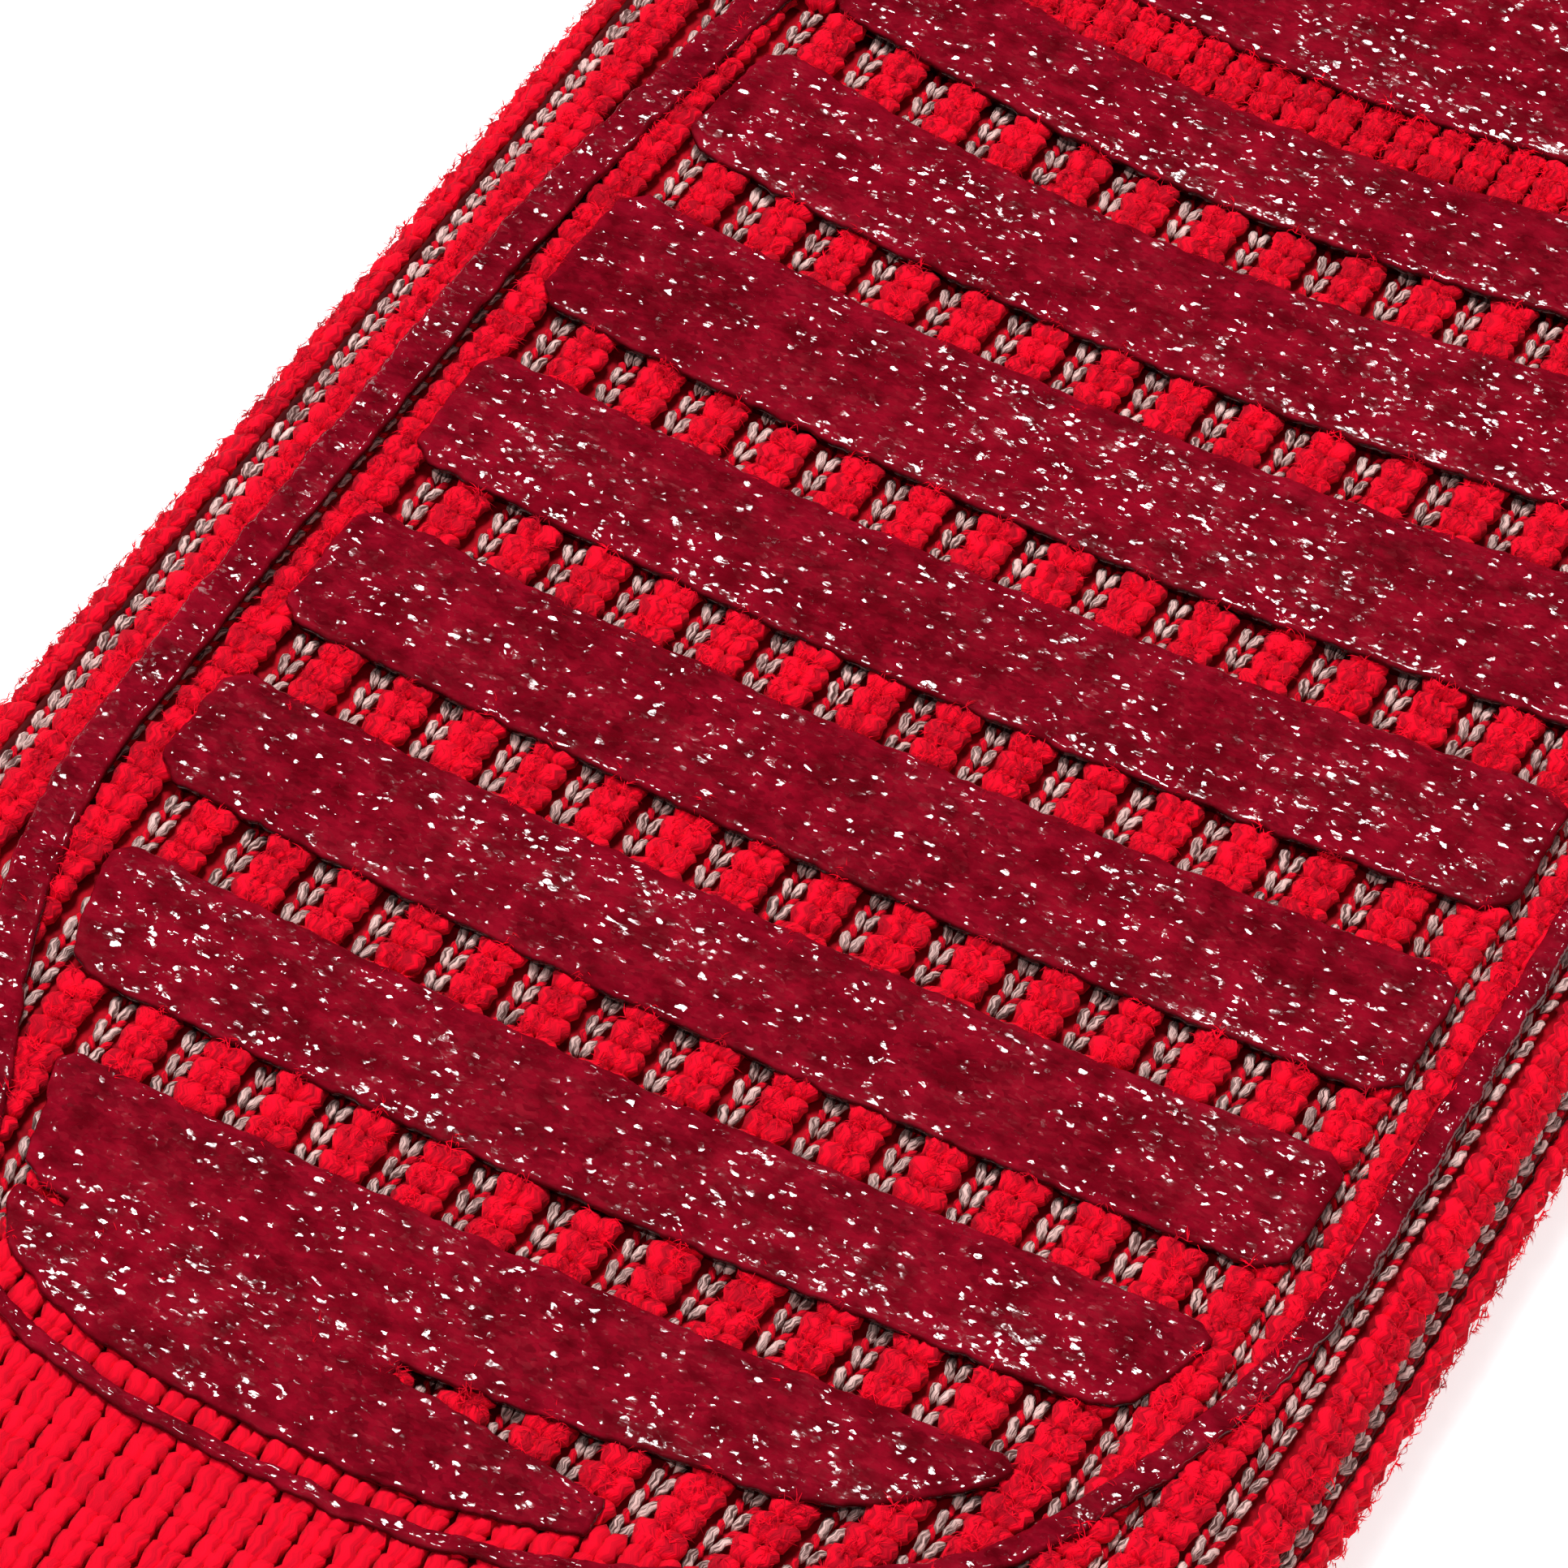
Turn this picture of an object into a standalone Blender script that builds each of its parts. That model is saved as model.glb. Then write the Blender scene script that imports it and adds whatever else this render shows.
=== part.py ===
"""Knitted slipper sock with a printed non-slip sole, lying flat on its instep with the sole up.

The knitted tube is built zone by zone from the toe to the cuff, and each printed grip pad is a thin
solid that follows the sole. X runs across the foot, Y from the toe to the cuff, and Z up out of the
sole. Stations along the sock are counted from the toe tip, and along_y() turns them into Y."""

import math

import bmesh
import bpy
import numpy as np

# Driving dimensions, in metres.
FOOT_LENGTH = 0.215  # toe tip to the back of the heel
FOOT_WIDTH = 0.0892
FOOT_THICKNESS = 0.0112  # both layers with the hollow between them
WALL = 0.0028  # one layer of chunky knit
TOE_LENGTH = 0.0320  # plain toe cap, up to the first striped course
TOE_ROUNDING = 0.052  # length over which the toe narrows
HEEL_LENGTH = 0.082  # plain heel on the sole side
HEEL_RISE = 0.013  # how far the heel pocket stands above the sole
HEEL_POCKET_WIDTH = 0.074
HEEL_BACK = 0.011  # the heel falls to the leg over this length either side of its back
HEEL_FRONT = 0.013  # the pocket starts to rise this far into the heel
HEEL_CREST = 0.023  # and is highest this far before its back
POCKET_FULLNESS = 1.5  # power of the pocket's crown, higher is more pointed
LEG_LENGTH = 0.092  # ankle to cuff
LEG_WIDTH = 0.086
LEG_THICKNESS = 0.0128
CUFF_LENGTH = 0.050
CUFF_WIDTH = 0.082
CUFF_THICKNESS = 0.0128
CUFF_OUTER_LAYER = 0.0016
CUFF_INNER_LAYER = 0.0014
ELASTIC_THICKNESS = 0.0005
ELASTIC_LENGTH = 0.038
SEAM_RADIUS = 0.0011  # linked seam along the end of the toe
SEAM_SPAN = 0.060
GRIP_THICKNESS = 0.0009
PRINT_OFFSET = 0.0014  # the print sits a little to one side of the tube's middle
TOE_LEAN = 0.0060  # how far the front of the print leans towards the big toe
TOE_LEAN_LENGTH = 0.014
BAND_WIDTH = 0.0017  # narrow printed band that follows the edge of the sole
BAND_WIDE = 0.0027  # the same on the other side, where the screen pressed harder
BAND_THIN = 0.0011  # the same at the front tip
BAND_MARGIN = 0.0054  # from the side fold to the band, before the offset
BAND_TIP = 0.0253  # from the toe tip to the band
BAND_ROUNDING = 0.038  # length of the band's round front end
FRONT_ROUND = 1.7  # powers of the superellipse that rounds the front of the print
FRONT_BLUNT = 2.7
BAND_HEEL_MARGIN = 0.0100  # from the back of the heel to the band
BAND_HEEL_ROUNDING = 0.030
ARCH_NARROWING = 0.0095  # how much closer to the middle the band runs at the arch and heel
ARCH_LENGTH = 0.085  # length over which it moves in
ARCH_LEAD = 0.033  # how far before the heel it starts to
INNER_GAP = 0.0021  # bare knit between the band and the pads inside it, at the sides
TIP_GAP = 0.0014  # the same at the front tip
BAR_GAP = 0.0043  # bare knit between two neighbouring bars
BAR_CORNER = 0.0014
TOE_PAD_DEPTH = 0.0067  # crescent pad at the front
CRESCENT_END = 0.0008  # how thin the crescent is at its two ends
SMEAR_START = -0.004  # the rubber closes the first gap up to here, and then the gap opens
SMEAR_END = 0.022
ROW_BOW = 0.0018  # the ends of each bar curve this much towards the heel
HEEL_BOW = 0.0110  # the same at the last gap, where the heel pocket draws the knit up
BOW_REACH = 0.080  # the curve grows over this length before the last gap
BOW_GROWTH = 3  # power with which it grows
BOW_FADE = 0.034  # and it dies out over this length behind it
ROW_SKEW = 0.034  # slope of the most skewed row, where the toe starts to narrow
SKEW_REACH = 0.0145  # the skew dies out over this length either side of that row
SKEW_SHARE = 0.8  # that row is this share of the reach past the first gap
# Relative lengths of the eight bars, each with its gap, from the toe to the heel.
BAR_GRADING = (11.3, 12.5, 13.0, 13.8, 13.6, 14.7, 13.7, 12.1)
HEEL_GAP = 0.0062  # from the start of the heel to the middle of the last gap
CLEARANCE = 0.0003

# Facets.
FLAT_STEPS = 8
FOLD_STEPS = 8
SOLE_STEPS = 14
PAD_ROWS = 8
PAD_COLUMNS = 14
HEEL_PAD_ROWS = 26
BAND_FRONT_STEPS = 16
BAND_SIDE_STEPS = 20
BAND_HEEL_STEPS = 12
TOE_STEPS = 11
FOOT_STEPS = 9
HEEL_STEPS = 22
LEG_STEPS = 5
SEAM_STEPS = 22
WELT_STEPS = 6
END_CHORD = 0.0002  # where a round end is cut off with a small flat

# Values that follow.
HALF_FOOT = FOOT_WIDTH / 2
HEEL_START = FOOT_LENGTH - HEEL_LENGTH
ANKLE = FOOT_LENGTH + HEEL_BACK
CUFF_START = ANKLE + LEG_LENGTH
CUFF_END = CUFF_START + CUFF_LENGTH
SEAM_REACH = 2 * SEAM_RADIUS + CLEARANCE
TOTAL_LENGTH = CUFF_END + SEAM_REACH
BAND_END = FOOT_LENGTH - BAND_HEEL_MARGIN
FIRST_GAP = BAND_TIP + BAND_THIN + TIP_GAP + TOE_PAD_DEPTH
SKEWED_ROW = FIRST_GAP + SKEW_REACH * SKEW_SHARE
LAST_GAP = HEEL_START + HEEL_GAP


def along_y(station):
    return station + SEAM_REACH - TOTAL_LENGTH / 2


def smooth_step(start, end, value):
    share = min(max((value - start) / (end - start), 0.0), 1.0)
    return share * share * (3 - 2 * share)


def round_end(distance, length):
    """Share of the full size at this distance into a rounded end of this length."""
    back = 1 - min(max(distance / length, 0.0), 1.0)
    return math.sqrt(1 - back * back)


def collection_named(name):
    found = bpy.data.collections.new(name)
    bpy.context.scene.collection.children.link(found)
    return found


def plain_material(name, colour, roughness):
    made = bpy.data.materials.new(name)
    made.use_nodes = True
    shader = made.node_tree.nodes["Principled BSDF"]
    shader.inputs["Base Color"].default_value = (*colour, 1.0)
    shader.inputs["Roughness"].default_value = roughness
    shader.inputs["Metallic"].default_value = 0.0
    return made


# The knitted tube: its width, thickness and heel pocket at each station.


def tube_half_width(station, inset=0.0):
    toe = round_end(station - inset, TOE_ROUNDING - inset)
    foot = (HALF_FOOT - inset) * toe
    leg = LEG_WIDTH / 2 - inset
    return foot + (leg - foot) * smooth_step(HEEL_START, CUFF_START, station)


def tube_thickness(station, inset=0.0):
    end = round_end(station - inset, FOOT_THICKNESS / 2 - inset)
    foot = (FOOT_THICKNESS - 2 * inset) * end
    leg = LEG_THICKNESS - 2 * inset
    return foot + (leg - foot) * smooth_step(HEEL_START, ANKLE, station)


def tube_middle(station):
    foot = FOOT_THICKNESS / 2
    return foot + (LEG_THICKNESS / 2 - foot) * smooth_step(HEEL_START, ANKLE, station)


def heel_rise(x, station, inset=0.0):
    """Height of the heel pocket above the flat tube."""
    front = HEEL_START + HEEL_FRONT + inset
    crest = FOOT_LENGTH - HEEL_CREST
    back = smooth_step(front, crest, station)
    back *= 1 - smooth_step(FOOT_LENGTH - HEEL_BACK - inset, ANKLE - inset, station)
    share = min(abs(x) / (HEEL_POCKET_WIDTH / 2 - inset), 1.0)
    return HEEL_RISE * back * (1 - share * share) ** POCKET_FULLNESS


def sole_height(x, station):
    """Height of the sole's outer face over the floor."""
    half = tube_half_width(station)
    radius = tube_thickness(station) / 2
    over = max(abs(x) - (half - radius), 0.0)
    fall = radius - math.sqrt(max(radius * radius - over * over, 0.0))
    return tube_middle(station) + radius - fall + heel_rise(x, station)


def tube_ring(station, inset=0.0):
    """Points round the tube at one station, flat under and over, with a half circle at each fold."""
    half = tube_half_width(station, inset)
    radius = min(tube_thickness(station, inset) / 2, half)
    middle = tube_middle(station)
    flat = half - radius
    ring = [
        (-flat + 2 * flat * i / FLAT_STEPS, middle - radius) for i in range(FLAT_STEPS)
    ]
    for i in range(FOLD_STEPS):
        angle = -math.pi / 2 + math.pi * i / FOLD_STEPS
        ring.append((flat + radius * math.cos(angle), middle + radius * math.sin(angle)))
    for i in range(SOLE_STEPS):
        x = flat - 2 * flat * i / SOLE_STEPS
        ring.append((x, middle + radius + heel_rise(x, station, inset)))
    for i in range(FOLD_STEPS):
        angle = math.pi / 2 + math.pi * i / FOLD_STEPS
        ring.append((-flat + radius * math.cos(angle), middle + radius * math.sin(angle)))
    return [(x, along_y(station), z) for x, z in ring]


def mesh_from_loops(name, loops, caps, closed):
    """A body lofted through loops of equal length; caps closes both ends, closed joins last to first."""
    build = bmesh.new()
    rows = [[build.verts.new(point) for point in loop] for loop in loops]
    pairs = list(zip(rows, rows[1:]))
    if closed:
        pairs.append((rows[-1], rows[0]))
    for first, second in pairs:
        for i in range(len(first)):
            j = (i + 1) % len(first)
            build.faces.new((first[i], first[j], second[j], second[i]))
    if caps:
        build.faces.new(rows[0][::-1])
        build.faces.new(rows[-1])
    bmesh.ops.recalc_face_normals(build, faces=build.faces)
    mesh = bpy.data.meshes.new(name)
    build.to_mesh(mesh)
    build.free()
    return mesh


def add_object(name, data, collection, material):
    made = bpy.data.objects.new(name, data)
    data.materials.append(material)
    if data.name in bpy.data.meshes:
        data.shade_smooth()
        data.set_sharp_from_angle(angle=math.radians(50))
    collection.objects.link(made)
    return made


def steps_between(start, end, count):
    return [start + (end - start) * i / count for i in range(count + 1)]


def tube_zone(name, stations, collection, material):
    """One zone of the tube, open at both ends, with its inner face a wall's thickness inside."""
    outside = [tube_ring(station) for station in stations]
    inside = [tube_ring(station, WALL) for station in reversed(stations)]
    mesh = mesh_from_loops(name, outside + inside, caps=False, closed=True)
    return add_object(name, mesh, collection, material)


def toe_stations(start, end, count):
    """Stations that crowd towards the round tip."""
    return [start + (end - start) * (i / count) ** 2 for i in range(count + 1)]


def make_toe_cap(collection, material):
    end = TOE_LENGTH - CLEARANCE
    outside = [tube_ring(station) for station in toe_stations(END_CHORD, end, TOE_STEPS)]
    inner_stations = toe_stations(WALL + END_CHORD, end, TOE_STEPS - 2)
    inside = [tube_ring(station, WALL) for station in reversed(inner_stations)]
    mesh = mesh_from_loops("toe_cap", outside + inside, caps=True, closed=False)
    return add_object("toe_cap", mesh, collection, material)


def make_toe_seam(collection, material):
    """The linked seam, a round ridge along the end of the toe at the height of the fold."""
    offset = SEAM_RADIUS + CLEARANCE
    half_angle = math.asin(min(SEAM_SPAN / 2 / HALF_FOOT, 0.95))
    curve = bpy.data.curves.new("toe_linking_seam", "CURVE")
    curve.dimensions = "3D"
    curve.bevel_depth = SEAM_RADIUS
    curve.bevel_resolution = 2
    curve.use_fill_caps = True
    spline = curve.splines.new("POLY")
    spline.points.add(SEAM_STEPS)
    for i, point in enumerate(spline.points):
        angle = -half_angle + 2 * half_angle * i / SEAM_STEPS
        x = (HALF_FOOT + offset) * math.sin(angle)
        station = TOE_ROUNDING - (TOE_ROUNDING + offset) * math.cos(angle)
        point.co = (x, along_y(station), FOOT_THICKNESS / 2, 1.0)
    return add_object("toe_linking_seam", curve, collection, material)


# The cuff: a welt folded over at the top, with the elastic lying between its two layers.


def cuff_ring(station, inset):
    half = CUFF_WIDTH / 2 - inset
    radius = CUFF_THICKNESS / 2 - inset
    flat = half - radius
    ring = [(-flat + 2 * flat * i / FLAT_STEPS, -radius) for i in range(FLAT_STEPS)]
    for i in range(FOLD_STEPS):
        angle = -math.pi / 2 + math.pi * i / FOLD_STEPS
        ring.append((flat + radius * math.cos(angle), radius * math.sin(angle)))
    ring += [(flat - 2 * flat * i / FLAT_STEPS, radius) for i in range(FLAT_STEPS)]
    for i in range(FOLD_STEPS):
        angle = math.pi / 2 + math.pi * i / FOLD_STEPS
        ring.append((-flat + radius * math.cos(angle), radius * math.sin(angle)))
    return [(x, along_y(station), z + CUFF_THICKNESS / 2) for x, z in ring]


def make_cuff(collection, material):
    pocket = CUFF_OUTER_LAYER + ELASTIC_THICKNESS + 2 * CLEARANCE
    inner = pocket + CUFF_INNER_LAYER
    start = CUFF_START + CLEARANCE
    turn = inner / 2
    pocket_end = start + ELASTIC_LENGTH + 2 * CLEARANCE
    profile = [(start, CUFF_OUTER_LAYER), (start, 0.0)]
    profile.append(((start + CUFF_END) / 2, 0.0))
    for i in range(WELT_STEPS + 1):
        angle = math.pi * i / WELT_STEPS
        station = CUFF_END - turn + turn * math.sin(angle)
        profile.append((station, turn - turn * math.cos(angle)))
    profile.append(((start + CUFF_END) / 2, inner))
    profile += [(start, inner), (start, pocket)]
    profile += [(pocket_end, pocket), (pocket_end, CUFF_OUTER_LAYER)]
    loops = [cuff_ring(station, inset) for station, inset in profile]
    mesh = mesh_from_loops("ribbed_cuff", loops, caps=False, closed=True)
    return add_object("ribbed_cuff", mesh, collection, material)


def make_elastic(collection, material):
    outer = CUFF_OUTER_LAYER + CLEARANCE
    start = CUFF_START + 2 * CLEARANCE
    end = start + ELASTIC_LENGTH
    profile = [(start, outer), (end, outer)]
    profile += [(end, outer + ELASTIC_THICKNESS), (start, outer + ELASTIC_THICKNESS)]
    loops = [cuff_ring(station, inset) for station, inset in profile]
    mesh = mesh_from_loops("cuff_elastic", loops, caps=False, closed=True)
    return add_object("cuff_elastic", mesh, collection, material)


# The printed grip: a band round the edge of the sole and pads inside it.


def band_half_width(station):
    """Half the width of the sole print, out to the band's outer edge."""
    full = HALF_FOOT - BAND_MARGIN
    arch_start = HEEL_START - ARCH_LEAD
    full -= ARCH_NARROWING * smooth_step(arch_start, arch_start + ARCH_LENGTH, station)
    front = 1 - min(max((station - BAND_TIP) / BAND_ROUNDING, 0.0), 1.0)
    full *= (1 - front**FRONT_ROUND) ** (1 / FRONT_BLUNT)
    back = 1 - min(max((BAND_END - station) / BAND_HEEL_ROUNDING, 0.0), 1.0)
    return full * (1 - back**2) ** 0.5


def print_middle(station):
    """The print's own middle line, which leans to one side at the front tip."""
    return PRINT_OFFSET - TOE_LEAN * (1 - smooth_step(BAND_TIP, BAND_TIP + TOE_LEAN_LENGTH, station))


def front_share(station):
    """From 0 at the front tip of the print to 1 where its sides run straight."""
    return smooth_step(BAND_TIP, BAND_TIP + BAND_ROUNDING / 2, station)


def band_width(x, station):
    side = BAND_WIDE + (BAND_WIDTH - BAND_WIDE) * smooth_step(-HALF_FOOT / 2, HALF_FOOT / 2, x)
    return BAND_THIN + (side - BAND_THIN) * front_share(station)


def pad_inset(x, station):
    """From the band's outer edge to the pads inside it."""
    return band_width(x, station) + TIP_GAP + (INNER_GAP - TIP_GAP) * front_share(station)


def band_path():
    """Outer edge of the band, once round the sole, as (x, station), from the front tip."""
    half = []
    for i in range(1, BAND_FRONT_STEPS + 1):
        back = math.cos(math.pi / 2 * i / BAND_FRONT_STEPS)
        half.append(BAND_TIP + BAND_ROUNDING * (1 - back))
    half += steps_between(half[-1], BAND_END - BAND_HEEL_ROUNDING, BAND_SIDE_STEPS)[1:]
    for i in range(1, BAND_HEEL_STEPS):
        turned = math.sin(math.pi / 2 * i / BAND_HEEL_STEPS)
        half.append(BAND_END - BAND_HEEL_ROUNDING * (1 - turned))
    right = [(print_middle(s) + band_half_width(s), s) for s in half]
    left = [(print_middle(s) - band_half_width(s), s) for s in reversed(half)]
    tip = (print_middle(BAND_TIP), BAND_TIP)
    return [tip, *right, (PRINT_OFFSET, BAND_END), *left]


def moved_in(path, inset):
    """A closed path whose points move square to it, each by what inset gives for it."""
    moved = []
    for i, (x, station) in enumerate(path):
        before, after = path[i - 1], path[(i + 1) % len(path)]
        dx, ds = after[0] - before[0], after[1] - before[1]
        distance = inset(x, station) / math.hypot(dx, ds)
        moved.append((x - ds * distance, station + dx * distance))
    return moved


def pad_outline():
    """The line inside the band that all the pads reach, as its +X and -X sides."""
    path = moved_in(band_path(), pad_inset)
    turn = len(path) // 2
    return path[: turn + 1], [path[0], *reversed(path[turn:])]


def pad_edge(side, station):
    """X of the pads' end on one side."""
    return float(np.interp(station, [s for _, s in side], [x for x, _ in side]))


def row_drift(x, station):
    """How far a printed row runs out of square here, towards the heel."""
    near = 1 - min(abs(station - SKEWED_ROW) / SKEW_REACH, 1.0)
    skew = ROW_SKEW * near * near * (3 - 2 * near)
    before = 1 - min(max(LAST_GAP - station, 0.0) / BOW_REACH, 1.0)
    behind = 1 - smooth_step(LAST_GAP, LAST_GAP + BOW_FADE, station)
    bow = ROW_BOW + (HEEL_BOW - ROW_BOW) * before**BOW_GROWTH * behind
    return skew * x + bow * (x / HALF_FOOT) ** 2


def smeared_gap(x):
    """Width of the first gap, which the rubber has run across on one side."""
    return CLEARANCE + (BAR_GAP - CLEARANCE) * smooth_step(SMEAR_START, SMEAR_END, x)


def grip_point(x, station):
    """A point of a pad's under face, just over the sole."""
    return (x, along_y(station), sole_height(x, station) + CLEARANCE)


def thicken(made):
    solid = made.modifiers.new("thickness", "SOLIDIFY")
    solid.thickness = GRIP_THICKNESS
    solid.offset = 1.0
    return made


def grid_mesh(name, rows):
    """An open sheet through rows of points, facing up."""
    build = bmesh.new()
    made = [[build.verts.new(point) for point in row] for row in rows]
    for first, second in zip(made, made[1:]):
        for i in range(len(first) - 1):
            build.faces.new((first[i], first[i + 1], second[i + 1], second[i]))
    mesh = bpy.data.meshes.new(name)
    build.to_mesh(mesh)
    build.free()
    return mesh


def corner_cut(station, start, end):
    """How far a round corner draws the pad's end in at this station."""
    back = BAR_CORNER - min(station - start, end - station, BAR_CORNER)
    return BAR_CORNER - math.sqrt(BAR_CORNER**2 - back**2)


def make_pad(name, start, end, rows, collection, material):
    """A pad across the sole from one station to another; its start may change across the sole."""
    right, left = pad_outline()
    points = []
    for share in steps_between(0.0, 1.0, rows):
        line = []
        for across in steps_between(0.0, 1.0, PAD_COLUMNS):
            middle = start(0.0) + (end - start(0.0)) * share
            cut = corner_cut(middle, start(0.0), end)
            low, high = pad_edge(left, middle) + cut, pad_edge(right, middle) - cut
            x = low + (high - low) * across
            station = start(x) + (end - start(x)) * share
            line.append(grip_point(x, station + row_drift(x, station)))
        points.append(line)
    made = add_object(name, grid_mesh(name, points), collection, material)
    return thicken(made)


def crescent_front(far_edge):
    """Points of the crescent's front edge, from -X to +X, as far as its two tips."""
    right, left = pad_outline()
    outline = [*reversed(left), *right[1:]]
    return [(x, station) for x, station in outline if station < far_edge(x) - CRESCENT_END]


def make_toe_pad(far_edge, collection, material):
    """The crescent at the front, whose front edge keeps to the band."""
    front = crescent_front(far_edge)
    front_x, front_stations = zip(*front)
    points = []
    for row in steps_between(0.0, 1.0, PAD_ROWS):
        line = []
        for x in steps_between(front_x[0], front_x[-1], PAD_COLUMNS * 2):
            near = float(np.interp(x, front_x, front_stations))
            line.append(grip_point(x, near + (far_edge(x) - near) * row))
        points.append(line)
    made = add_object("grip_toe_pad", grid_mesh("grip_toe_pad", points), collection, material)
    return thicken(made)


def make_band(collection, material):
    path = band_path()
    inner = moved_in(path, band_width)
    count = len(path)
    build = bmesh.new()
    rows = [[build.verts.new(grip_point(*point)) for point in pair] for pair in zip(path, inner)]
    for i in range(count):
        first, second = rows[i], rows[(i + 1) % count]
        build.faces.new((first[0], second[0], second[1], first[1]))
    mesh = bpy.data.meshes.new("grip_band")
    build.to_mesh(mesh)
    build.free()
    made = add_object("grip_band", mesh, collection, material)
    return thicken(made)


def gap_stations():
    """The middle of each bare gap between the bars, from the toe pad to the heel pad."""
    share = (LAST_GAP - FIRST_GAP) / sum(BAR_GRADING)
    found = [FIRST_GAP]
    for length in BAR_GRADING:
        found.append(found[-1] + length * share)
    return found


def make_grip(collection, material):
    make_band(collection, material)
    gaps = gap_stations()
    half_gap = BAR_GAP / 2

    def toe_far_edge(x):
        return gaps[0] + row_drift(x, gaps[0]) - smeared_gap(x) / 2

    make_toe_pad(toe_far_edge, collection, material)
    for i, (before, after) in enumerate(zip(gaps, gaps[1:]), 1):

        def start(x):
            return before + (smeared_gap(x) / 2 if i == 1 else half_gap)

        make_pad(f"grip_bar_{i}", start, after - half_gap, PAD_ROWS, collection, material)
    end = BAND_END - BAND_WIDE - INNER_GAP
    heel_start = gaps[-1] + half_gap
    make_pad("grip_heel_pad", lambda x: heel_start, end, HEEL_PAD_ROWS, collection, material)


def main():
    for old in list(bpy.data.objects):
        bpy.data.objects.remove(old)
    sock = collection_named("slipper_sock")
    yarn = plain_material("red_yarn", (0.83, 0.006, 0.021), 0.9)
    rubber = plain_material("grip_rubber", (0.25, 0.005, 0.015), 0.25)
    seam = plain_material("seam_yarn", (0.62, 0.005, 0.018), 0.9)
    elastic = plain_material("elastic_yarn", (0.75, 0.72, 0.68), 0.7)

    make_toe_cap(sock, yarn)
    make_toe_seam(sock, seam)
    foot_end = HEEL_START - CLEARANCE
    tube_zone("foot_tube", steps_between(TOE_LENGTH, foot_end, FOOT_STEPS), sock, yarn)
    heel = steps_between(HEEL_START, ANKLE - CLEARANCE, HEEL_STEPS)
    tube_zone("heel_pocket", heel, sock, yarn)
    tube_zone("leg_tube", steps_between(ANKLE, CUFF_START, LEG_STEPS), sock, yarn)
    make_cuff(sock, yarn)
    make_elastic(sock, elastic)
    make_grip(sock, rubber)


main()
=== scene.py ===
"""Knitted slipper sock with a printed rubber tread, lying flat with its sole up.

X runs across the foot, Y from the toe to the cuff and Z up out of the sole. Stations along the sock
are counted from the toe tip, and lengths are in metres."""

import math

import bmesh
import bpy
import numpy as np
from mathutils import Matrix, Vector, noise


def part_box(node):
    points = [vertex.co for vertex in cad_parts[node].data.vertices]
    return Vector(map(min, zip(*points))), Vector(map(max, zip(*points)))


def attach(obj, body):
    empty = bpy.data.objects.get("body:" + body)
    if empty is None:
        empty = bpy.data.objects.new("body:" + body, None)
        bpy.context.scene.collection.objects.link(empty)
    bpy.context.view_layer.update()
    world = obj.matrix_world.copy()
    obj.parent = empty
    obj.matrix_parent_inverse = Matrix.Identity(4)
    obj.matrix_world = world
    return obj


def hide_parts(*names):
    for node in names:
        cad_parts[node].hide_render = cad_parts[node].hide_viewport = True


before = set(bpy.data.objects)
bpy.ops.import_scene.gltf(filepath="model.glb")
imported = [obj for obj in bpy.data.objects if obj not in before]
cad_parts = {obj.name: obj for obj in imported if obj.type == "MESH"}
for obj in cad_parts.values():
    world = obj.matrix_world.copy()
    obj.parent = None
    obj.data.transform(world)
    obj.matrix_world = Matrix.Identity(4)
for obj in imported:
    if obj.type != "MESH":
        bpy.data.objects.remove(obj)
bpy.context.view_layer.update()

# ---------------------------------------------------------------------------------------------------
# Studio: a pale floor and soft lamps. The smallest lamp hangs right over the sole, so that only the
# small slopes of the rubber that face the camera throw its light back.
# ---------------------------------------------------------------------------------------------------

toe_low, toe_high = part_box("toe_cap")
foot_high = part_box("foot_tube")[1]
TIP = toe_low.y
SOLE = foot_high.z

CAMERA_TURN, CAMERA_RISE = math.radians(29.44), math.radians(50.87)
CAMERA_DISTANCE = 0.3374
camera_data = bpy.data.cameras.new("camera")
camera_data.lens = 140.5
camera_data.sensor_width = 36.0
camera_data.clip_start = 0.01
camera = bpy.data.objects.new("camera", camera_data)
bpy.context.scene.collection.objects.link(camera)
bpy.context.scene.camera = camera
camera_back = Vector((
    math.sin(CAMERA_TURN) * math.cos(CAMERA_RISE),
    -math.cos(CAMERA_TURN) * math.cos(CAMERA_RISE),
    math.sin(CAMERA_RISE),
))
aim = Vector((-0.0021, TIP + 0.078, SOLE))
camera.location = aim + camera_back * CAMERA_DISTANCE
camera.rotation_mode = "QUATERNION"
camera.rotation_quaternion = (-camera_back).to_track_quat("-Z", "Y")


def add_lamp(name, place, target, size, power, glints=False):
    lamp = bpy.data.lights.new(name, "AREA")
    lamp.shape = "RECTANGLE"
    lamp.size, lamp.size_y = size
    lamp.energy = power
    holder = bpy.data.objects.new(name, lamp)
    holder.location = place
    holder.rotation_mode = "QUATERNION"
    holder.rotation_quaternion = (Vector(target) - Vector(place)).to_track_quat("-Z", "Y")
    holder.visible_glossy = glints
    bpy.context.scene.collection.objects.link(holder)


add_lamp("overhead_lamp", (-0.10, 0.12, 1.05), (0, -0.10, 0), (0.30, 0.30), 12.0, glints=True)
add_lamp("front_softbox", (0.0, -1.35, 0.70), (0, -0.05, 0), (0.9, 0.6), 6.0)
add_lamp("left_softbox", (-1.25, -0.3, 0.65), (0, 0, 0), (0.7, 0.7), 5.0)

world = bpy.data.worlds.new("studio")
world.use_nodes = True
sky = world.node_tree.nodes["Background"].inputs
sky["Color"].default_value = (1, 1, 1, 1)
sky["Strength"].default_value = 0.30
world.cycles_visibility.glossy = False
bpy.context.scene.world = world
bpy.context.scene.view_settings.view_transform = "Standard"

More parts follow.
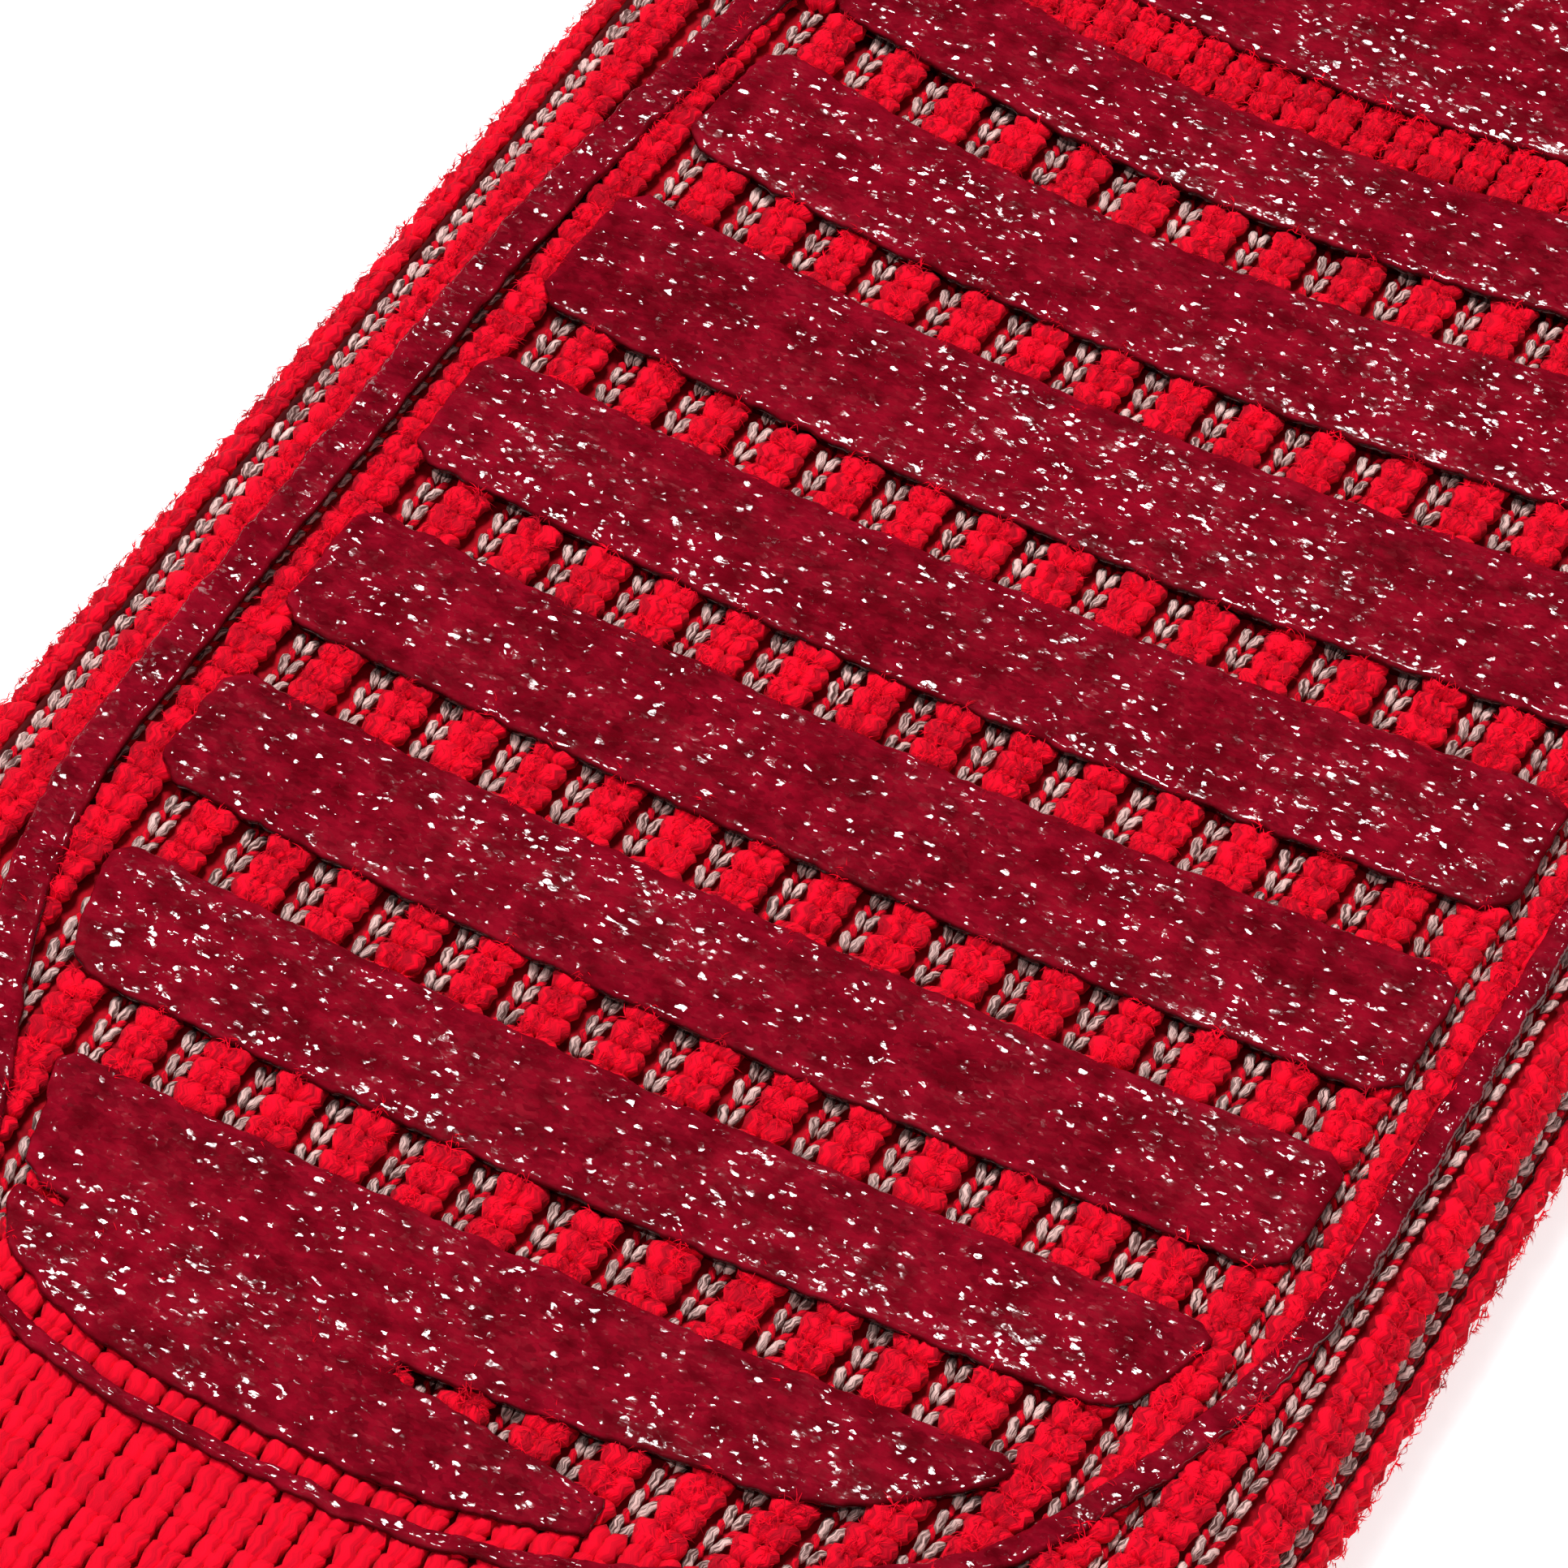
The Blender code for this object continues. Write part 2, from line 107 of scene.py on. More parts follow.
FLOOR_HALF = 3.0
FLOOR_DROP = -0.001
floor_build = bmesh.new()
bmesh.ops.create_grid(floor_build, x_segments=1, y_segments=1, size=FLOOR_HALF)
bmesh.ops.translate(floor_build, verts=floor_build.verts, vec=(0, 0, FLOOR_DROP))
floor_mesh = bpy.data.meshes.new("floor")
floor_build.to_mesh(floor_mesh)
floor_build.free()
floor = bpy.data.objects.new("floor", floor_mesh)
bpy.context.scene.collection.objects.link(floor)
floor_material = bpy.data.materials.new("pale_floor")
floor_material.use_nodes = True
floor_shader = floor_material.node_tree.nodes["Principled BSDF"].inputs
floor_shader["Base Color"].default_value = (0.6, 0.6, 0.6, 1)
floor_shader["Roughness"].default_value = 0.9
floor_shader["Specular IOR Level"].default_value = 0.0
floor_shader["Emission Color"].default_value = (1, 1, 1, 1)
floor_shader["Emission Strength"].default_value = 0.70
floor_mesh.materials.append(floor_material)

# ---------------------------------------------------------------------------------------------------
# Ground of the tube: the inner side of the knit, where the yarn crosses behind the stitches and no
# light reaches. Its yarn is painted much darker than the stitches, as painted shade between them. It
# follows the frame's toe, foot, heel and leg, and every stitch is laid over it.
# ---------------------------------------------------------------------------------------------------

heel_low, heel_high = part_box("heel_pocket")
leg_low, leg_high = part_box("leg_tube")
HALF_FOOT = foot_high.x
HALF_LEG = leg_high.x
TOE_END = toe_high.y - TIP
HEEL_START = heel_low.y - TIP
ANKLE = leg_low.y - TIP
CUFF_START = leg_high.y - TIP
LEG_THICKNESS = leg_high.z
HEEL_RISE = heel_high.z - SOLE
HEEL_BACK = 0.011  # the heel falls to the leg over this length either side of its back
HEEL_FRONT = 0.013  # the pocket starts to rise this far into the heel
HEEL_CREST = 0.023  # and is highest this far before its back
POCKET_HALF = 0.037
POCKET_FULLNESS = 1.5
TOE_ROUNDING = 0.052
GROUND_DEPTH = 0.0010  # from the sock's outer face to the ground
WALL = 0.0028
TIP_GAP = 0.0003  # the inner face stops this far short of its tip
TIP_START = 0.0002  # and the outer one starts this far behind its own
RING_POINTS = 120


def smooth_step(start, end, value):
    share = np.clip((np.asarray(value, float) - start) / (end - start), 0.0, 1.0)
    return share * share * (3 - 2 * share)


def round_end(distance, length):
    """Share of the full size at this distance into a rounded end of this length."""
    back = 1 - np.clip(np.asarray(distance, float) / length, 0.0, 1.0)
    return np.sqrt(1 - back * back)


def half_width(station, inset=0.0):
    foot = (HALF_FOOT - inset) * round_end(station - inset, TOE_ROUNDING - inset)
    return foot + (HALF_LEG - inset - foot) * smooth_step(HEEL_START, CUFF_START, station)


def fold_radius(station, inset=0.0):
    foot = (SOLE / 2 - inset) * round_end(station - inset, SOLE / 2 - inset)
    return foot + (LEG_THICKNESS / 2 - inset - foot) * smooth_step(HEEL_START, ANKLE, station)


def middle_height(station):
    return SOLE / 2 + (LEG_THICKNESS - SOLE) / 2 * smooth_step(HEEL_START, ANKLE, station)


def heel_rise(x, station, inset=0.0):
    """Height of the heel pocket above the flat tube."""
    heel_tip = ANKLE - HEEL_BACK
    rise = smooth_step(HEEL_START + HEEL_FRONT + inset, heel_tip - HEEL_CREST, station)
    rise = rise * (1 - smooth_step(heel_tip - HEEL_BACK - inset, ANKLE - inset, station))
    share = np.minimum(np.abs(x) / (POCKET_HALF - inset), 1.0)
    return HEEL_RISE * rise * (1 - share * share) ** POCKET_FULLNESS


def girth(station, inset=0.0):
    radius = fold_radius(station, inset)
    return 4 * (half_width(station, inset) - radius) + 2 * math.pi * radius


def tube_place(round_share, station, inset=0.0):
    """Places on the tube: round_share runs from -0.5 to 0.5 round it, and 0 is the middle of the sole."""
    round_share, station = np.broadcast_arrays(np.asarray(round_share, float), station)
    radius = fold_radius(station, inset)
    flat = half_width(station, inset) - radius
    run = np.abs(round_share) * girth(station, inset)
    side = np.where(round_share < 0, -1.0, 1.0)
    turn = np.clip((run - flat) / np.maximum(radius, 1e-9), 0.0, math.pi)
    under = np.maximum(run - flat - math.pi * radius, 0.0)
    x = side * (np.minimum(run, flat) + radius * np.sin(turn) - under)
    z = middle_height(station) + radius * np.cos(turn)
    z = z + np.where(turn < math.pi / 2, heel_rise(x, station, inset), 0.0)
    return np.stack([x, station + TIP, z], axis=-1)


def loft(loops, capped=False):
    """Points and faces of a body through loops of equal length; capped closes both ends."""
    loops = np.asarray(loops)
    rows, columns = loops.shape[:2]
    index = np.arange(rows * columns).reshape(rows, columns)
    if not capped:
        index = np.vstack([index, index[:1]])
    after = np.roll(index, -1, axis=1)
    faces = np.stack([index[:-1], index[1:], after[1:], after[:-1]], axis=-1).reshape(-1, 4).tolist()
    if capped:
        faces += [index[0].tolist(), index[-1][::-1].tolist()]
    return loops.reshape(-1, 3), faces


def mesh_of(name, points, faces):
    mesh = bpy.data.meshes.new(name)
    mesh.from_pydata(points.tolist(), [], faces)
    build = bmesh.new()
    build.from_mesh(mesh)
    bmesh.ops.recalc_face_normals(build, faces=build.faces)
    build.to_mesh(mesh)
    build.free()
    mesh.shade_smooth()
    return mesh


def add_piece(name, mesh, finish, slot, *nodes):
    """A finished piece of the sock, which stands for these nodes of the frame."""
    mesh.materials.clear()
    mesh.materials.append(finish)
    piece = bpy.data.objects.new(name, mesh)
    bpy.context.scene.collection.objects.link(piece)
    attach(piece, "root")
    if nodes:
        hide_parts(*nodes)


class Dye:
    """A value in a material's recipe. Sums and products of it add the shader's own maths."""

    def __init__(self, tree, socket=None):
        self.tree = tree
        self.socket = socket

    def node(self, kind, settings, sockets, output=0):
        """Any node, with its settings and what its inputs get, as the value of one output."""
        made = self.tree.nodes.new(kind)
        for name, value in settings.items():
            setattr(made, name, value)
        for name, value in sockets.items():
            if isinstance(value, Dye):
                self.tree.links.new(value.socket, made.inputs[name])
            else:
                made.inputs[name].default_value = value
        return Dye(self.tree, made.outputs[output])

    def __add__(self, other):
        return self.node("ShaderNodeMath", {"operation": "ADD"}, {0: self, 1: other})

    def __mul__(self, other):
        return self.node("ShaderNodeMath", {"operation": "MULTIPLY"}, {0: self, 1: other})

    def ramp(self, low, high):
        """0 below low, 1 above high and smooth between."""
        settings = {"interpolation_type": "SMOOTHSTEP"}
        return self.node("ShaderNodeMapRange", settings, {"Value": self, "From Min": low, "From Max": high})

    def mix(self, first, second):
        """A colour between two, by this value."""
        sockets = {0: self, 6: first, 7: second}
        return self.node("ShaderNodeMix", {"data_type": "RGBA"}, sockets, 2)


def new_finish(name, constants):
    """A material with these constants, the start of its recipe, and its shader."""
    finish = bpy.data.materials.new(name)
    finish.use_nodes = True
    shader = finish.node_tree.nodes["Principled BSDF"]
    for socket, value in constants.items():
        shader.inputs[socket].default_value = value
    return finish, Dye(finish.node_tree), shader


def feed(dye, shader, socket):
    dye.tree.links.new(dye.socket, shader.inputs[socket])


def yarn_finish(name, dark, light, contrast, sheen, tint, strands=0.00025):
    """Spun yarn: fibres that run along each stitch with a slow twist, lighter and darker ones mixed.
    A low contrast parts the two colours sharply, and strands is the depth of the grooves between."""
    constants = {"Roughness": 0.85, "Specular IOR Level": 0.12, "Sheen Weight": sheen,
                 "Sheen Roughness": 0.4, "Sheen Tint": (*tint, 1)}
    finish, dye, shader = new_finish(name, constants)
    place = dye.node("ShaderNodeTexCoord", {}, {}, 3)
    along = dye.node("ShaderNodeUVMap", {"uv_map": "UVMap"}, {})
    twisted = dye.node("ShaderNodeMapping", {}, {"Vector": along, "Rotation": (0, 0, 0.35),
                                                 "Scale": (9.0, 1.6, 1.0)})
    apart = dye.node("ShaderNodeVectorMath", {"operation": "SCALE"}, {0: place, "Scale": 450.0})
    spread = dye.node("ShaderNodeVectorMath", {"operation": "ADD"}, {0: twisted, 1: apart})
    fibres = dye.node("ShaderNodeTexNoise", {}, {"Vector": spread, "Scale": 1.0, "Detail": 4.0,
                                                 "Roughness": 0.65})
    tone = fibres.ramp(0.5 - contrast, 0.5 + contrast)
    feed(tone.mix((*dark, 1), (*light, 1)), shader, "Base Color")
    bump = dye.node("ShaderNodeBump", {}, {"Strength": 0.8, "Distance": strands, "Height": fibres})
    feed(bump, shader, "Normal")
    return finish


RED_TINT = (1.0, 0.06, 0.10)
GREY_TINT = (1.0, 0.95, 0.9)
red_yarn = yarn_finish("red_yarn", (0.36, 0.001, 0.011), (0.96, 0.001, 0.021), 0.15, 0.20, RED_TINT)
grey_yarn = yarn_finish("grey_yarn", (0.09, 0.038, 0.034), (0.90, 0.60, 0.56), 0.12, 0.12, GREY_TINT)
toe_yarn = yarn_finish("toe_yarn", (0.52, 0.001, 0.014), (0.90, 0.001, 0.020), 0.25, 0.20, RED_TINT,
                       strands=0.00010)
# The ground's yarn is much darker than the stitches' red: painted shade in the gaps between stitches.
ground_yarn = yarn_finish("ground_yarn", (0.20, 0.001, 0.006), (0.50, 0.002, 0.012), 0.25, 0.0, RED_TINT)


def ground_zone(name, stations, finish, slot, node, tip=False):
    """One zone of the ground with its inner face, open towards its neighbours."""
    shares = np.arange(RING_POINTS) / RING_POINTS - 0.5
    outside = [tube_place(shares, s, GROUND_DEPTH) for s in stations]
    inner_stations = [s for s in stations[::-1] if s > WALL + TIP_GAP]
    inside = [tube_place(shares, s, WALL) for s in inner_stations]
    points, faces = loft(outside + inside, capped=tip)
    add_piece(name, mesh_of(name, points, faces), finish, slot, node)


toe_steps = GROUND_DEPTH + TIP_START + (TOE_END - GROUND_DEPTH) * np.linspace(0, 1, 16) ** 2
ground_zone("toe_ground", toe_steps, toe_yarn, "red_yarn", "toe_cap", tip=True)
ground_zone("foot_ground", np.linspace(TOE_END, HEEL_START, 24), ground_yarn, "striped_yarn", "foot_tube")
ground_zone("heel_ground", np.linspace(HEEL_START, ANKLE, 36), ground_yarn, "red_yarn", "heel_pocket")
ground_zone("leg_ground", np.linspace(ANKLE, CUFF_START, 20), ground_yarn, "striped_yarn", "leg_tube")

# ---------------------------------------------------------------------------------------------------
# Outlines of the printed tread, read from the frame's pads, because no stitch is laid under them.
# ---------------------------------------------------------------------------------------------------

PADS = ["grip_toe_pad", *[f"grip_bar_{i}" for i in range(1, 9)], "grip_heel_pad"]
TOP_FACING = 0.5


def rim_loops(node):
    """The loops round the upper face of a pad, seen from above, counter-clockwise, as (x, y)."""
    build = bmesh.new()
    build.from_mesh(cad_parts[node].data)
    bmesh.ops.remove_doubles(build, verts=build.verts, dist=1e-6)
    build.normal_update()
    top = [face for face in build.faces if face.normal.z > TOP_FACING]
    follow = {}
    for face in top:
        for loop in face.loops:
            follow[(loop.vert.index, loop.link_loop_next.vert.index)] = loop.vert
    place = {vert.index: (vert.co.x, vert.co.y) for vert in build.verts}
    rim = dict(edge for edge in follow if edge[::-1] not in follow)
    loops = []
    while rim:
        start, here = rim.popitem()
        loop = [start]
        while here != start:
            loop.append(here)
            here = rim.pop(here)
        loops.append(np.array([place[i] for i in loop]))
    build.free()
    return sorted(loops, key=lambda loop: -np.ptp(loop[:, 1]))


pad_rims = {node: rim_loops(node)[0] for node in PADS}


def under_pad(x, y, margin):
    """True where a place is under a pad, more than margin inside its outline."""
    hidden = np.zeros(len(x), bool)
    for rim in pad_rims.values():
        ahead = np.roll(rim, -1, axis=0)
        inside = np.zeros(len(x), bool)
        nearest = np.full(len(x), 1.0)
        for (x0, y0), (x1, y1) in zip(rim, ahead):
            crosses = (y0 > y) != (y1 > y)
            height = y1 - y0 if y1 != y0 else 1e-12
            inside ^= crosses & (x < x0 + (y - y0) * (x1 - x0) / height)
            run = (x1 - x0) ** 2 + (y1 - y0) ** 2
            share = np.clip(((x - x0) * (x1 - x0) + (y - y0) * (y1 - y0)) / max(run, 1e-12), 0, 1)
            gap = np.hypot(x - x0 - share * (x1 - x0), y - y0 - share * (y1 - y0))
            nearest = np.minimum(nearest, gap)
        hidden |= inside & (nearest > margin)
    return hidden


# ---------------------------------------------------------------------------------------------------
# Stitches: plain knitting, one V of yarn to each loop, in columns round the tube with their points
# towards the toe. Red and grey columns take turns on the foot and the leg; toe and heel are all red.
# ---------------------------------------------------------------------------------------------------

WALES = 84
WALE = girth(0.100) / WALES
COURSE = 0.00166
FIRST_WALE = -0.0005  # the red column nearest the middle of the sole lies here
FINE_START = 0.012  # the stitches of the sole between these stations are finely shaped
FINE_END = 0.152
FINE_LOWEST = 0.35  # as far down the fold as this share of the sock's height
HIDDEN_MARGIN = 0.0010  # a stitch this far inside a pad's outline can't be seen


def leg_rings(top, bottom, radius, flatness, arch, sides, rings, wobble, seed):
    """Points of one leg of a stitch, from its open end down to the point of the V."""
    start, end = np.array(top), np.array(bottom)
    run = (end - start) / np.linalg.norm(end - start)
    across = np.cross(run, (0, 0, 1.0))
    across /= np.linalg.norm(across)
    up = np.cross(across, run)
    chance = np.random.default_rng(seed)
    points = [start]
    for i in range(1, rings + 1):
        share = i / (rings + 1)
        centre = start + (end - start) * share + np.array([0, 0, arch * math.sin(math.pi * share)])
        size = radius * math.sin(math.pi * (0.10 + 0.80 * share)) ** 0.55
        for j in range(sides):
            turn = 2 * math.pi * (j + 0.5 * (i % 2)) / sides
            reach = size * (1 + wobble * chance.uniform(-1, 1))
            points.append(centre + reach * (across * math.cos(turn) + flatness * up * math.sin(turn)))
    points.append(end)
    return points


def add_leg(build, uv, points, sides, rings):
    verts = [build.verts.new(point) for point in points]

    def add_face(corners):
        face = build.faces.new([verts[index] for index, _, _ in corners])
        for loop, (_, round_share, along_share) in zip(face.loops, corners):
            loop[uv].uv = (round_share, along_share)

    for j in range(sides):
        k = (j + 1) % sides
        near, far = j / sides, (j + 1) / sides
        add_face([(0, near, 0.0), (1 + j, near, 0.1), (1 + k, far, 0.1)])
        for i in range(rings - 1):
            a, b = 1 + i * sides, 1 + (i + 1) * sides
            low, high = (i + 1) / (rings + 1), (i + 2) / (rings + 1)
            add_face([(a + j, near, low), (b + j, near, high), (b + k, far, high), (a + k, far, low)])
        last = 1 + (rings - 1) * sides
        add_face([(last + k, far, 0.9), (last + j, near, 0.9), (len(points) - 1, near, 1.0)])


def stitch_shape(name, half_top, half_bottom, height, radius, flatness, arch, sides, rings, wobble, seed):
    """A V of two yarn legs, its point towards -Y and its face up."""
    build = bmesh.new()
    uv = build.loops.layers.uv.new("UVMap")
    for side in (-1, 1):
        top = (side * half_top, height / 2, -0.3 * radius)
        bottom = (side * half_bottom, -height / 2, -0.5 * radius)
        points = leg_rings(top, bottom, radius, flatness, arch, sides, rings, wobble, seed + side)
        add_leg(build, uv, points, sides, rings)
    bmesh.ops.recalc_face_normals(build, faces=build.faces)
    mesh = bpy.data.meshes.new(name)
    build.to_mesh(mesh)
    build.free()
    mesh.shade_smooth()
    return bpy.data.objects.new(name, mesh)


def stitch_kinds(name, *sizes):
    return [stitch_shape(f"{name}_{i}", *sizes, seed=10 * i + 5) for i in range(3)]


# Sides and rings of each leg of a stitch, and how uneven they are.
FINE, SLENDER, COARSE = (6, 4, 0.16), (5, 3, 0.16), (4, 2, 0.0)
red_fine = stitch_kinds("red_fine", 0.00068, 0.00026, 0.00230, 0.00064, 0.90, 0.00035, *FINE)
grey_fine = stitch_kinds("grey_fine", 0.00056, 0.00017, 0.00158, 0.00029, 0.85, 0.00022, *FINE)
sliver_fine = stitch_kinds("sliver_fine", 0.00062, 0.00012, 0.00110, 0.00024, 0.85, 0.00010, *SLENDER)
red_coarse = stitch_kinds("red_coarse", 0.00066, 0.00026, 0.00240, 0.00066, 0.90, 0.00030, *COARSE)
grey_coarse = stitch_kinds("grey_coarse", 0.00062, 0.00018, 0.00190, 0.00044, 0.85, 0.00022, *COARSE)


def stitch_tree():
    """Geometry nodes that lay one of three stitches on each point, turned to the point's own axes."""
    tree = bpy.data.node_groups.new("lay_stitches", "GeometryNodeTree")
    inputs = [("Spots", "Geometry"), ("Stitch A", "Object"), ("Stitch B", "Object"),
              ("Stitch C", "Object"), ("Yarn", "Material"), ("Sway", "Float"),
              ("Size Change", "Float"), ("Seed", "Int")]
    for name, kind in inputs:
        tree.interface.new_socket(name=name, in_out="INPUT", socket_type=f"NodeSocket{kind}")
    tree.interface.new_socket(name="Stitches", in_out="OUTPUT", socket_type="NodeSocketGeometry")
    given = tree.nodes.new("NodeGroupInput").outputs
    result = tree.nodes.new("NodeGroupOutput")

    def add(kind, settings, sockets):
        made = tree.nodes.new(kind)
        for name, value in settings.items():
            setattr(made, name, value)
        for name, value in sockets.items():
            if isinstance(value, bpy.types.NodeSocket):
                tree.links.new(value, made.inputs[name])
            else:
                made.inputs[name].default_value = value
        return made.outputs

    def read(name):
        return add("GeometryNodeInputNamedAttribute", {"data_type": "FLOAT_VECTOR"}, {"Name": name})[0]

    shapes = tree.nodes.new("GeometryNodeJoinGeometry")
    for name in ("Stitch C", "Stitch B", "Stitch A"):
        shape = add("GeometryNodeObjectInfo", {}, {"Object": given[name], "As Instance": True})
        tree.links.new(shape["Geometry"], shapes.inputs[0])
    axes = {"primary_axis": "Z", "secondary_axis": "Y"}
    facing = add("FunctionNodeAxesToRotation", axes, {0: read("facing"), 1: read("back")})[0]
    less_sway = add("ShaderNodeMath", {"operation": "MULTIPLY"}, {0: given["Sway"], 1: -1.0})[0]
    vector = {"data_type": "FLOAT_VECTOR"}
    sways = {0: less_sway, 1: given["Sway"], "Seed": given["Seed"]}
    sway = add("FunctionNodeRandomValue", vector, sways)[0]
    swayed = add("FunctionNodeEulerToRotation", {}, {0: sway})[0]
    turned = add("FunctionNodeRotateRotation", {"rotation_space": "LOCAL"}, {0: facing, 1: swayed})[0]
    smallest = add("ShaderNodeMath", {"operation": "SUBTRACT"}, {0: 1.0, 1: given["Size Change"]})[0]
    largest = add("ShaderNodeMath", {"operation": "ADD"}, {0: 1.0, 1: given["Size Change"]})[0]
    change = add("FunctionNodeRandomValue", vector, {0: smallest, 1: largest, "Seed": given["Seed"]})[0]
    size = add("ShaderNodeVectorMath", {"operation": "MULTIPLY"}, {0: read("size"), 1: change})[0]
    pick = add("FunctionNodeRandomValue", {"data_type": "INT"}, {4: 0, 5: 2, "Seed": given["Seed"]})[2]
    laid = add("GeometryNodeInstanceOnPoints", {}, {
        "Points": given["Spots"], "Instance": shapes.outputs[0], "Pick Instance": True,
        "Instance Index": pick, "Rotation": turned, "Scale": size,
    })[0]
    whole = add("GeometryNodeRealizeInstances", {}, {0: laid})[0]
    dyed = add("GeometryNodeSetMaterial", {}, {"Geometry": whole, "Material": given["Yarn"]})[0]
    tree.links.new(dyed, result.inputs[0])
    return tree


laying_tree = stitch_tree()


def lay_stitches(name, spots, kinds, finish, slot, seed, sway=0.10, change=0.07):
    """Lays a stitch on every spot: rows of place, facing, back and size, three numbers each."""
    mesh = bpy.data.meshes.new(name + "_spots")
    mesh.from_pydata(spots[:, 0].tolist(), [], [])
    for column, attribute in enumerate(("facing", "back", "size"), 1):
        layer = mesh.attributes.new(attribute, "FLOAT_VECTOR", "POINT")
        layer.data.foreach_set("vector", spots[:, column].astype(np.float32).ravel())
    holder = bpy.data.objects.new(name + "_spots", mesh)
    bpy.context.scene.collection.objects.link(holder)
    laying = holder.modifiers.new("stitches", "NODES")
    laying.node_group = laying_tree
    values = {"Stitch A": kinds[0], "Stitch B": kinds[1], "Stitch C": kinds[2], "Yarn": finish,
              "Sway": sway, "Size Change": change, "Seed": seed}
    for item in laying_tree.interface.items_tree:
        if item.name in values:
            laying[item.identifier] = values[item.name]
    graph = bpy.context.evaluated_depsgraph_get()
    made = bpy.data.meshes.new_from_object(holder.evaluated_get(graph))
    made.name = name
    bpy.data.objects.remove(holder)
    add_piece(name, made, finish, slot)


def spot_rows(place, facing, back, size):
    size = np.broadcast_to(np.asarray(size, float), place.shape)
    return np.stack([place, facing, back, size], axis=1)


def tube_spots(shares, stations):
    """Spots on the tube, with their faces square to it and their open ends towards the cuff."""
    step = 0.0004
    place = tube_place(shares, stations)
    along = tube_place(shares, stations + step) - tube_place(shares, stations - step)
    across = tube_place(shares + step, stations) - tube_place(shares - step, stations)
    facing = np.cross(across, along)
    facing /= np.linalg.norm(facing, axis=1)[:, None]
    along /= np.linalg.norm(along, axis=1)[:, None]
    return place, facing, along


RIGHT_TWIST, LEFT_TWIST = -0.0019, -0.0017


def twist(run):
    """The tube lies a little turned: how far the columns this far round from the middle have moved."""
    side = RIGHT_TWIST * smooth_step(0.032, 0.042, run) + LEFT_TWIST * smooth_step(0.022, 0.042, -run)
    return side * (1 - smooth_step(0.048, 0.090, np.abs(run)))


# Every loop of the tube behind the toe: its column, its station and where it lies round it.
columns = np.arange(-WALES // 2, WALES // 2)
course_stations = np.arange(TOE_END, CUFF_START - COURSE / 2, COURSE) + COURSE / 2
column_grid, station_grid = np.meshgrid(columns, course_stations, indexing="ij")
column_grid, station_grid = column_grid.ravel(), station_grid.ravel()
share_grid = (column_grid + FIRST_WALE / WALE) / WALES
share_grid = (share_grid + 0.5) % 1.0 - 0.5
share_grid = share_grid + twist(share_grid * WALE * WALES) / (WALE * WALES)

# The toe: straight columns as far as the rim, which the middle ones cross square to it while the side
# ones follow it to a slanting line at each corner, where the toe was narrowed.
RIM_RADIUS = SOLE / 2
RIM_HALF = HALF_FOOT - RIM_RADIUS
RIM_LENGTH = TOE_ROUNDING - RIM_RADIUS
GORE_TURN = math.radians(49)
TOE_TAKE = float(half_width(TOE_END)) / HALF_FOOT  # the columns are this much closer on the toe


def rim_spots(turn, over):
    """Spots on the toe's rim: turn runs from -90 to 90 degrees round it and over from the sole down."""
    inner = np.stack([RIM_HALF * np.sin(turn), TOE_ROUNDING - RIM_LENGTH * np.cos(turn)], axis=-1)
    out = np.stack([np.sin(turn) / RIM_HALF, -np.cos(turn) / RIM_LENGTH], axis=-1)
    out /= np.linalg.norm(out, axis=-1)[..., None]
    place = inner + out * (RIM_RADIUS * np.sin(over))[..., None]
    facing = np.concatenate([out * np.sin(over)[..., None], np.cos(over)[..., None]], axis=-1)
    down = np.concatenate([out * np.cos(over)[..., None], -np.sin(over)[..., None]], axis=-1)
    round_way = np.stack([out[..., 1], -out[..., 0], np.zeros_like(turn)], axis=-1)
    z = RIM_RADIUS + RIM_RADIUS * np.cos(over)
    return np.stack([place[..., 0], place[..., 1] + TIP, z], axis=-1), facing, down, round_way


def toe_spots():
    """Every spot of the toe, on both faces and round its rim."""
    rows = []
    up, back = np.array([0, 0, 1.0]), np.array([0, 1.0, 0])
    for column in range(-WALES // 4, WALES // 4 + 1):
        x = column * WALE + FIRST_WALE
        x = (x + float(twist(x))) * TOE_TAKE
        if abs(x) >= RIM_HALF:
            continue
        rim_turn = math.asin(x / RIM_HALF)
        rim_station = TOE_ROUNDING - RIM_LENGTH * math.cos(rim_turn)
        for station in np.arange(TOE_END - COURSE / 2, rim_station - COURSE * 0.2, -COURSE):
            rows.append(((x, station + TIP, SOLE), up, back, (1.0, 1.0, 1.0)))
            rows.append(((x, station + TIP, 0.0), -up, back, (1.0, 1.0, 1.0)))
        if abs(rim_turn) < GORE_TURN:
            steps = round(math.pi * RIM_RADIUS / COURSE / 2)
            for i in range(steps):
                over = math.pi / 2 * (i + 0.5) / steps
                for angle, sign in ((over, -1.0), (math.pi - over, 1.0)):
                    place, facing, down, _ = rim_spots(np.array(rim_turn), np.array(angle))
                    rows.append((place, facing, down * sign, (1.0, 1.0, 1.0)))
    flat_share = (HALF_FOOT - RIM_RADIUS) / girth(TOE_ROUNDING)
    over_all = (np.abs(columns + FIRST_WALE / WALE) / WALES - flat_share) * girth(TOE_ROUNDING) / RIM_RADIUS
    for column, over in zip(columns, over_all):
        if not 0 < over < math.pi:
            continue
        side = 1 if column > 0 else -1
        turn = math.acos((TOE_ROUNDING - TOE_END) / (RIM_LENGTH + RIM_RADIUS * math.sin(over)))
        while True:
            reach = RIM_RADIUS * math.sin(over)
            pace = math.hypot((RIM_HALF + reach) * math.cos(turn), (RIM_LENGTH + reach) * math.sin(turn))
            turn -= COURSE / pace
            if turn < GORE_TURN:
                break
            place, facing, _, way = rim_spots(np.array(turn * side), np.array(over))
            rows.append((place, facing, way * -side, (1.0, 1.0, 1.0)))
    return np.array(rows, float)


def is_fine(table):
    station, z = table[:, 0, 1] - TIP, table[:, 0, 2]
    return (station > FINE_START) & (station < FINE_END) & (z > SOLE * FINE_LOWEST)


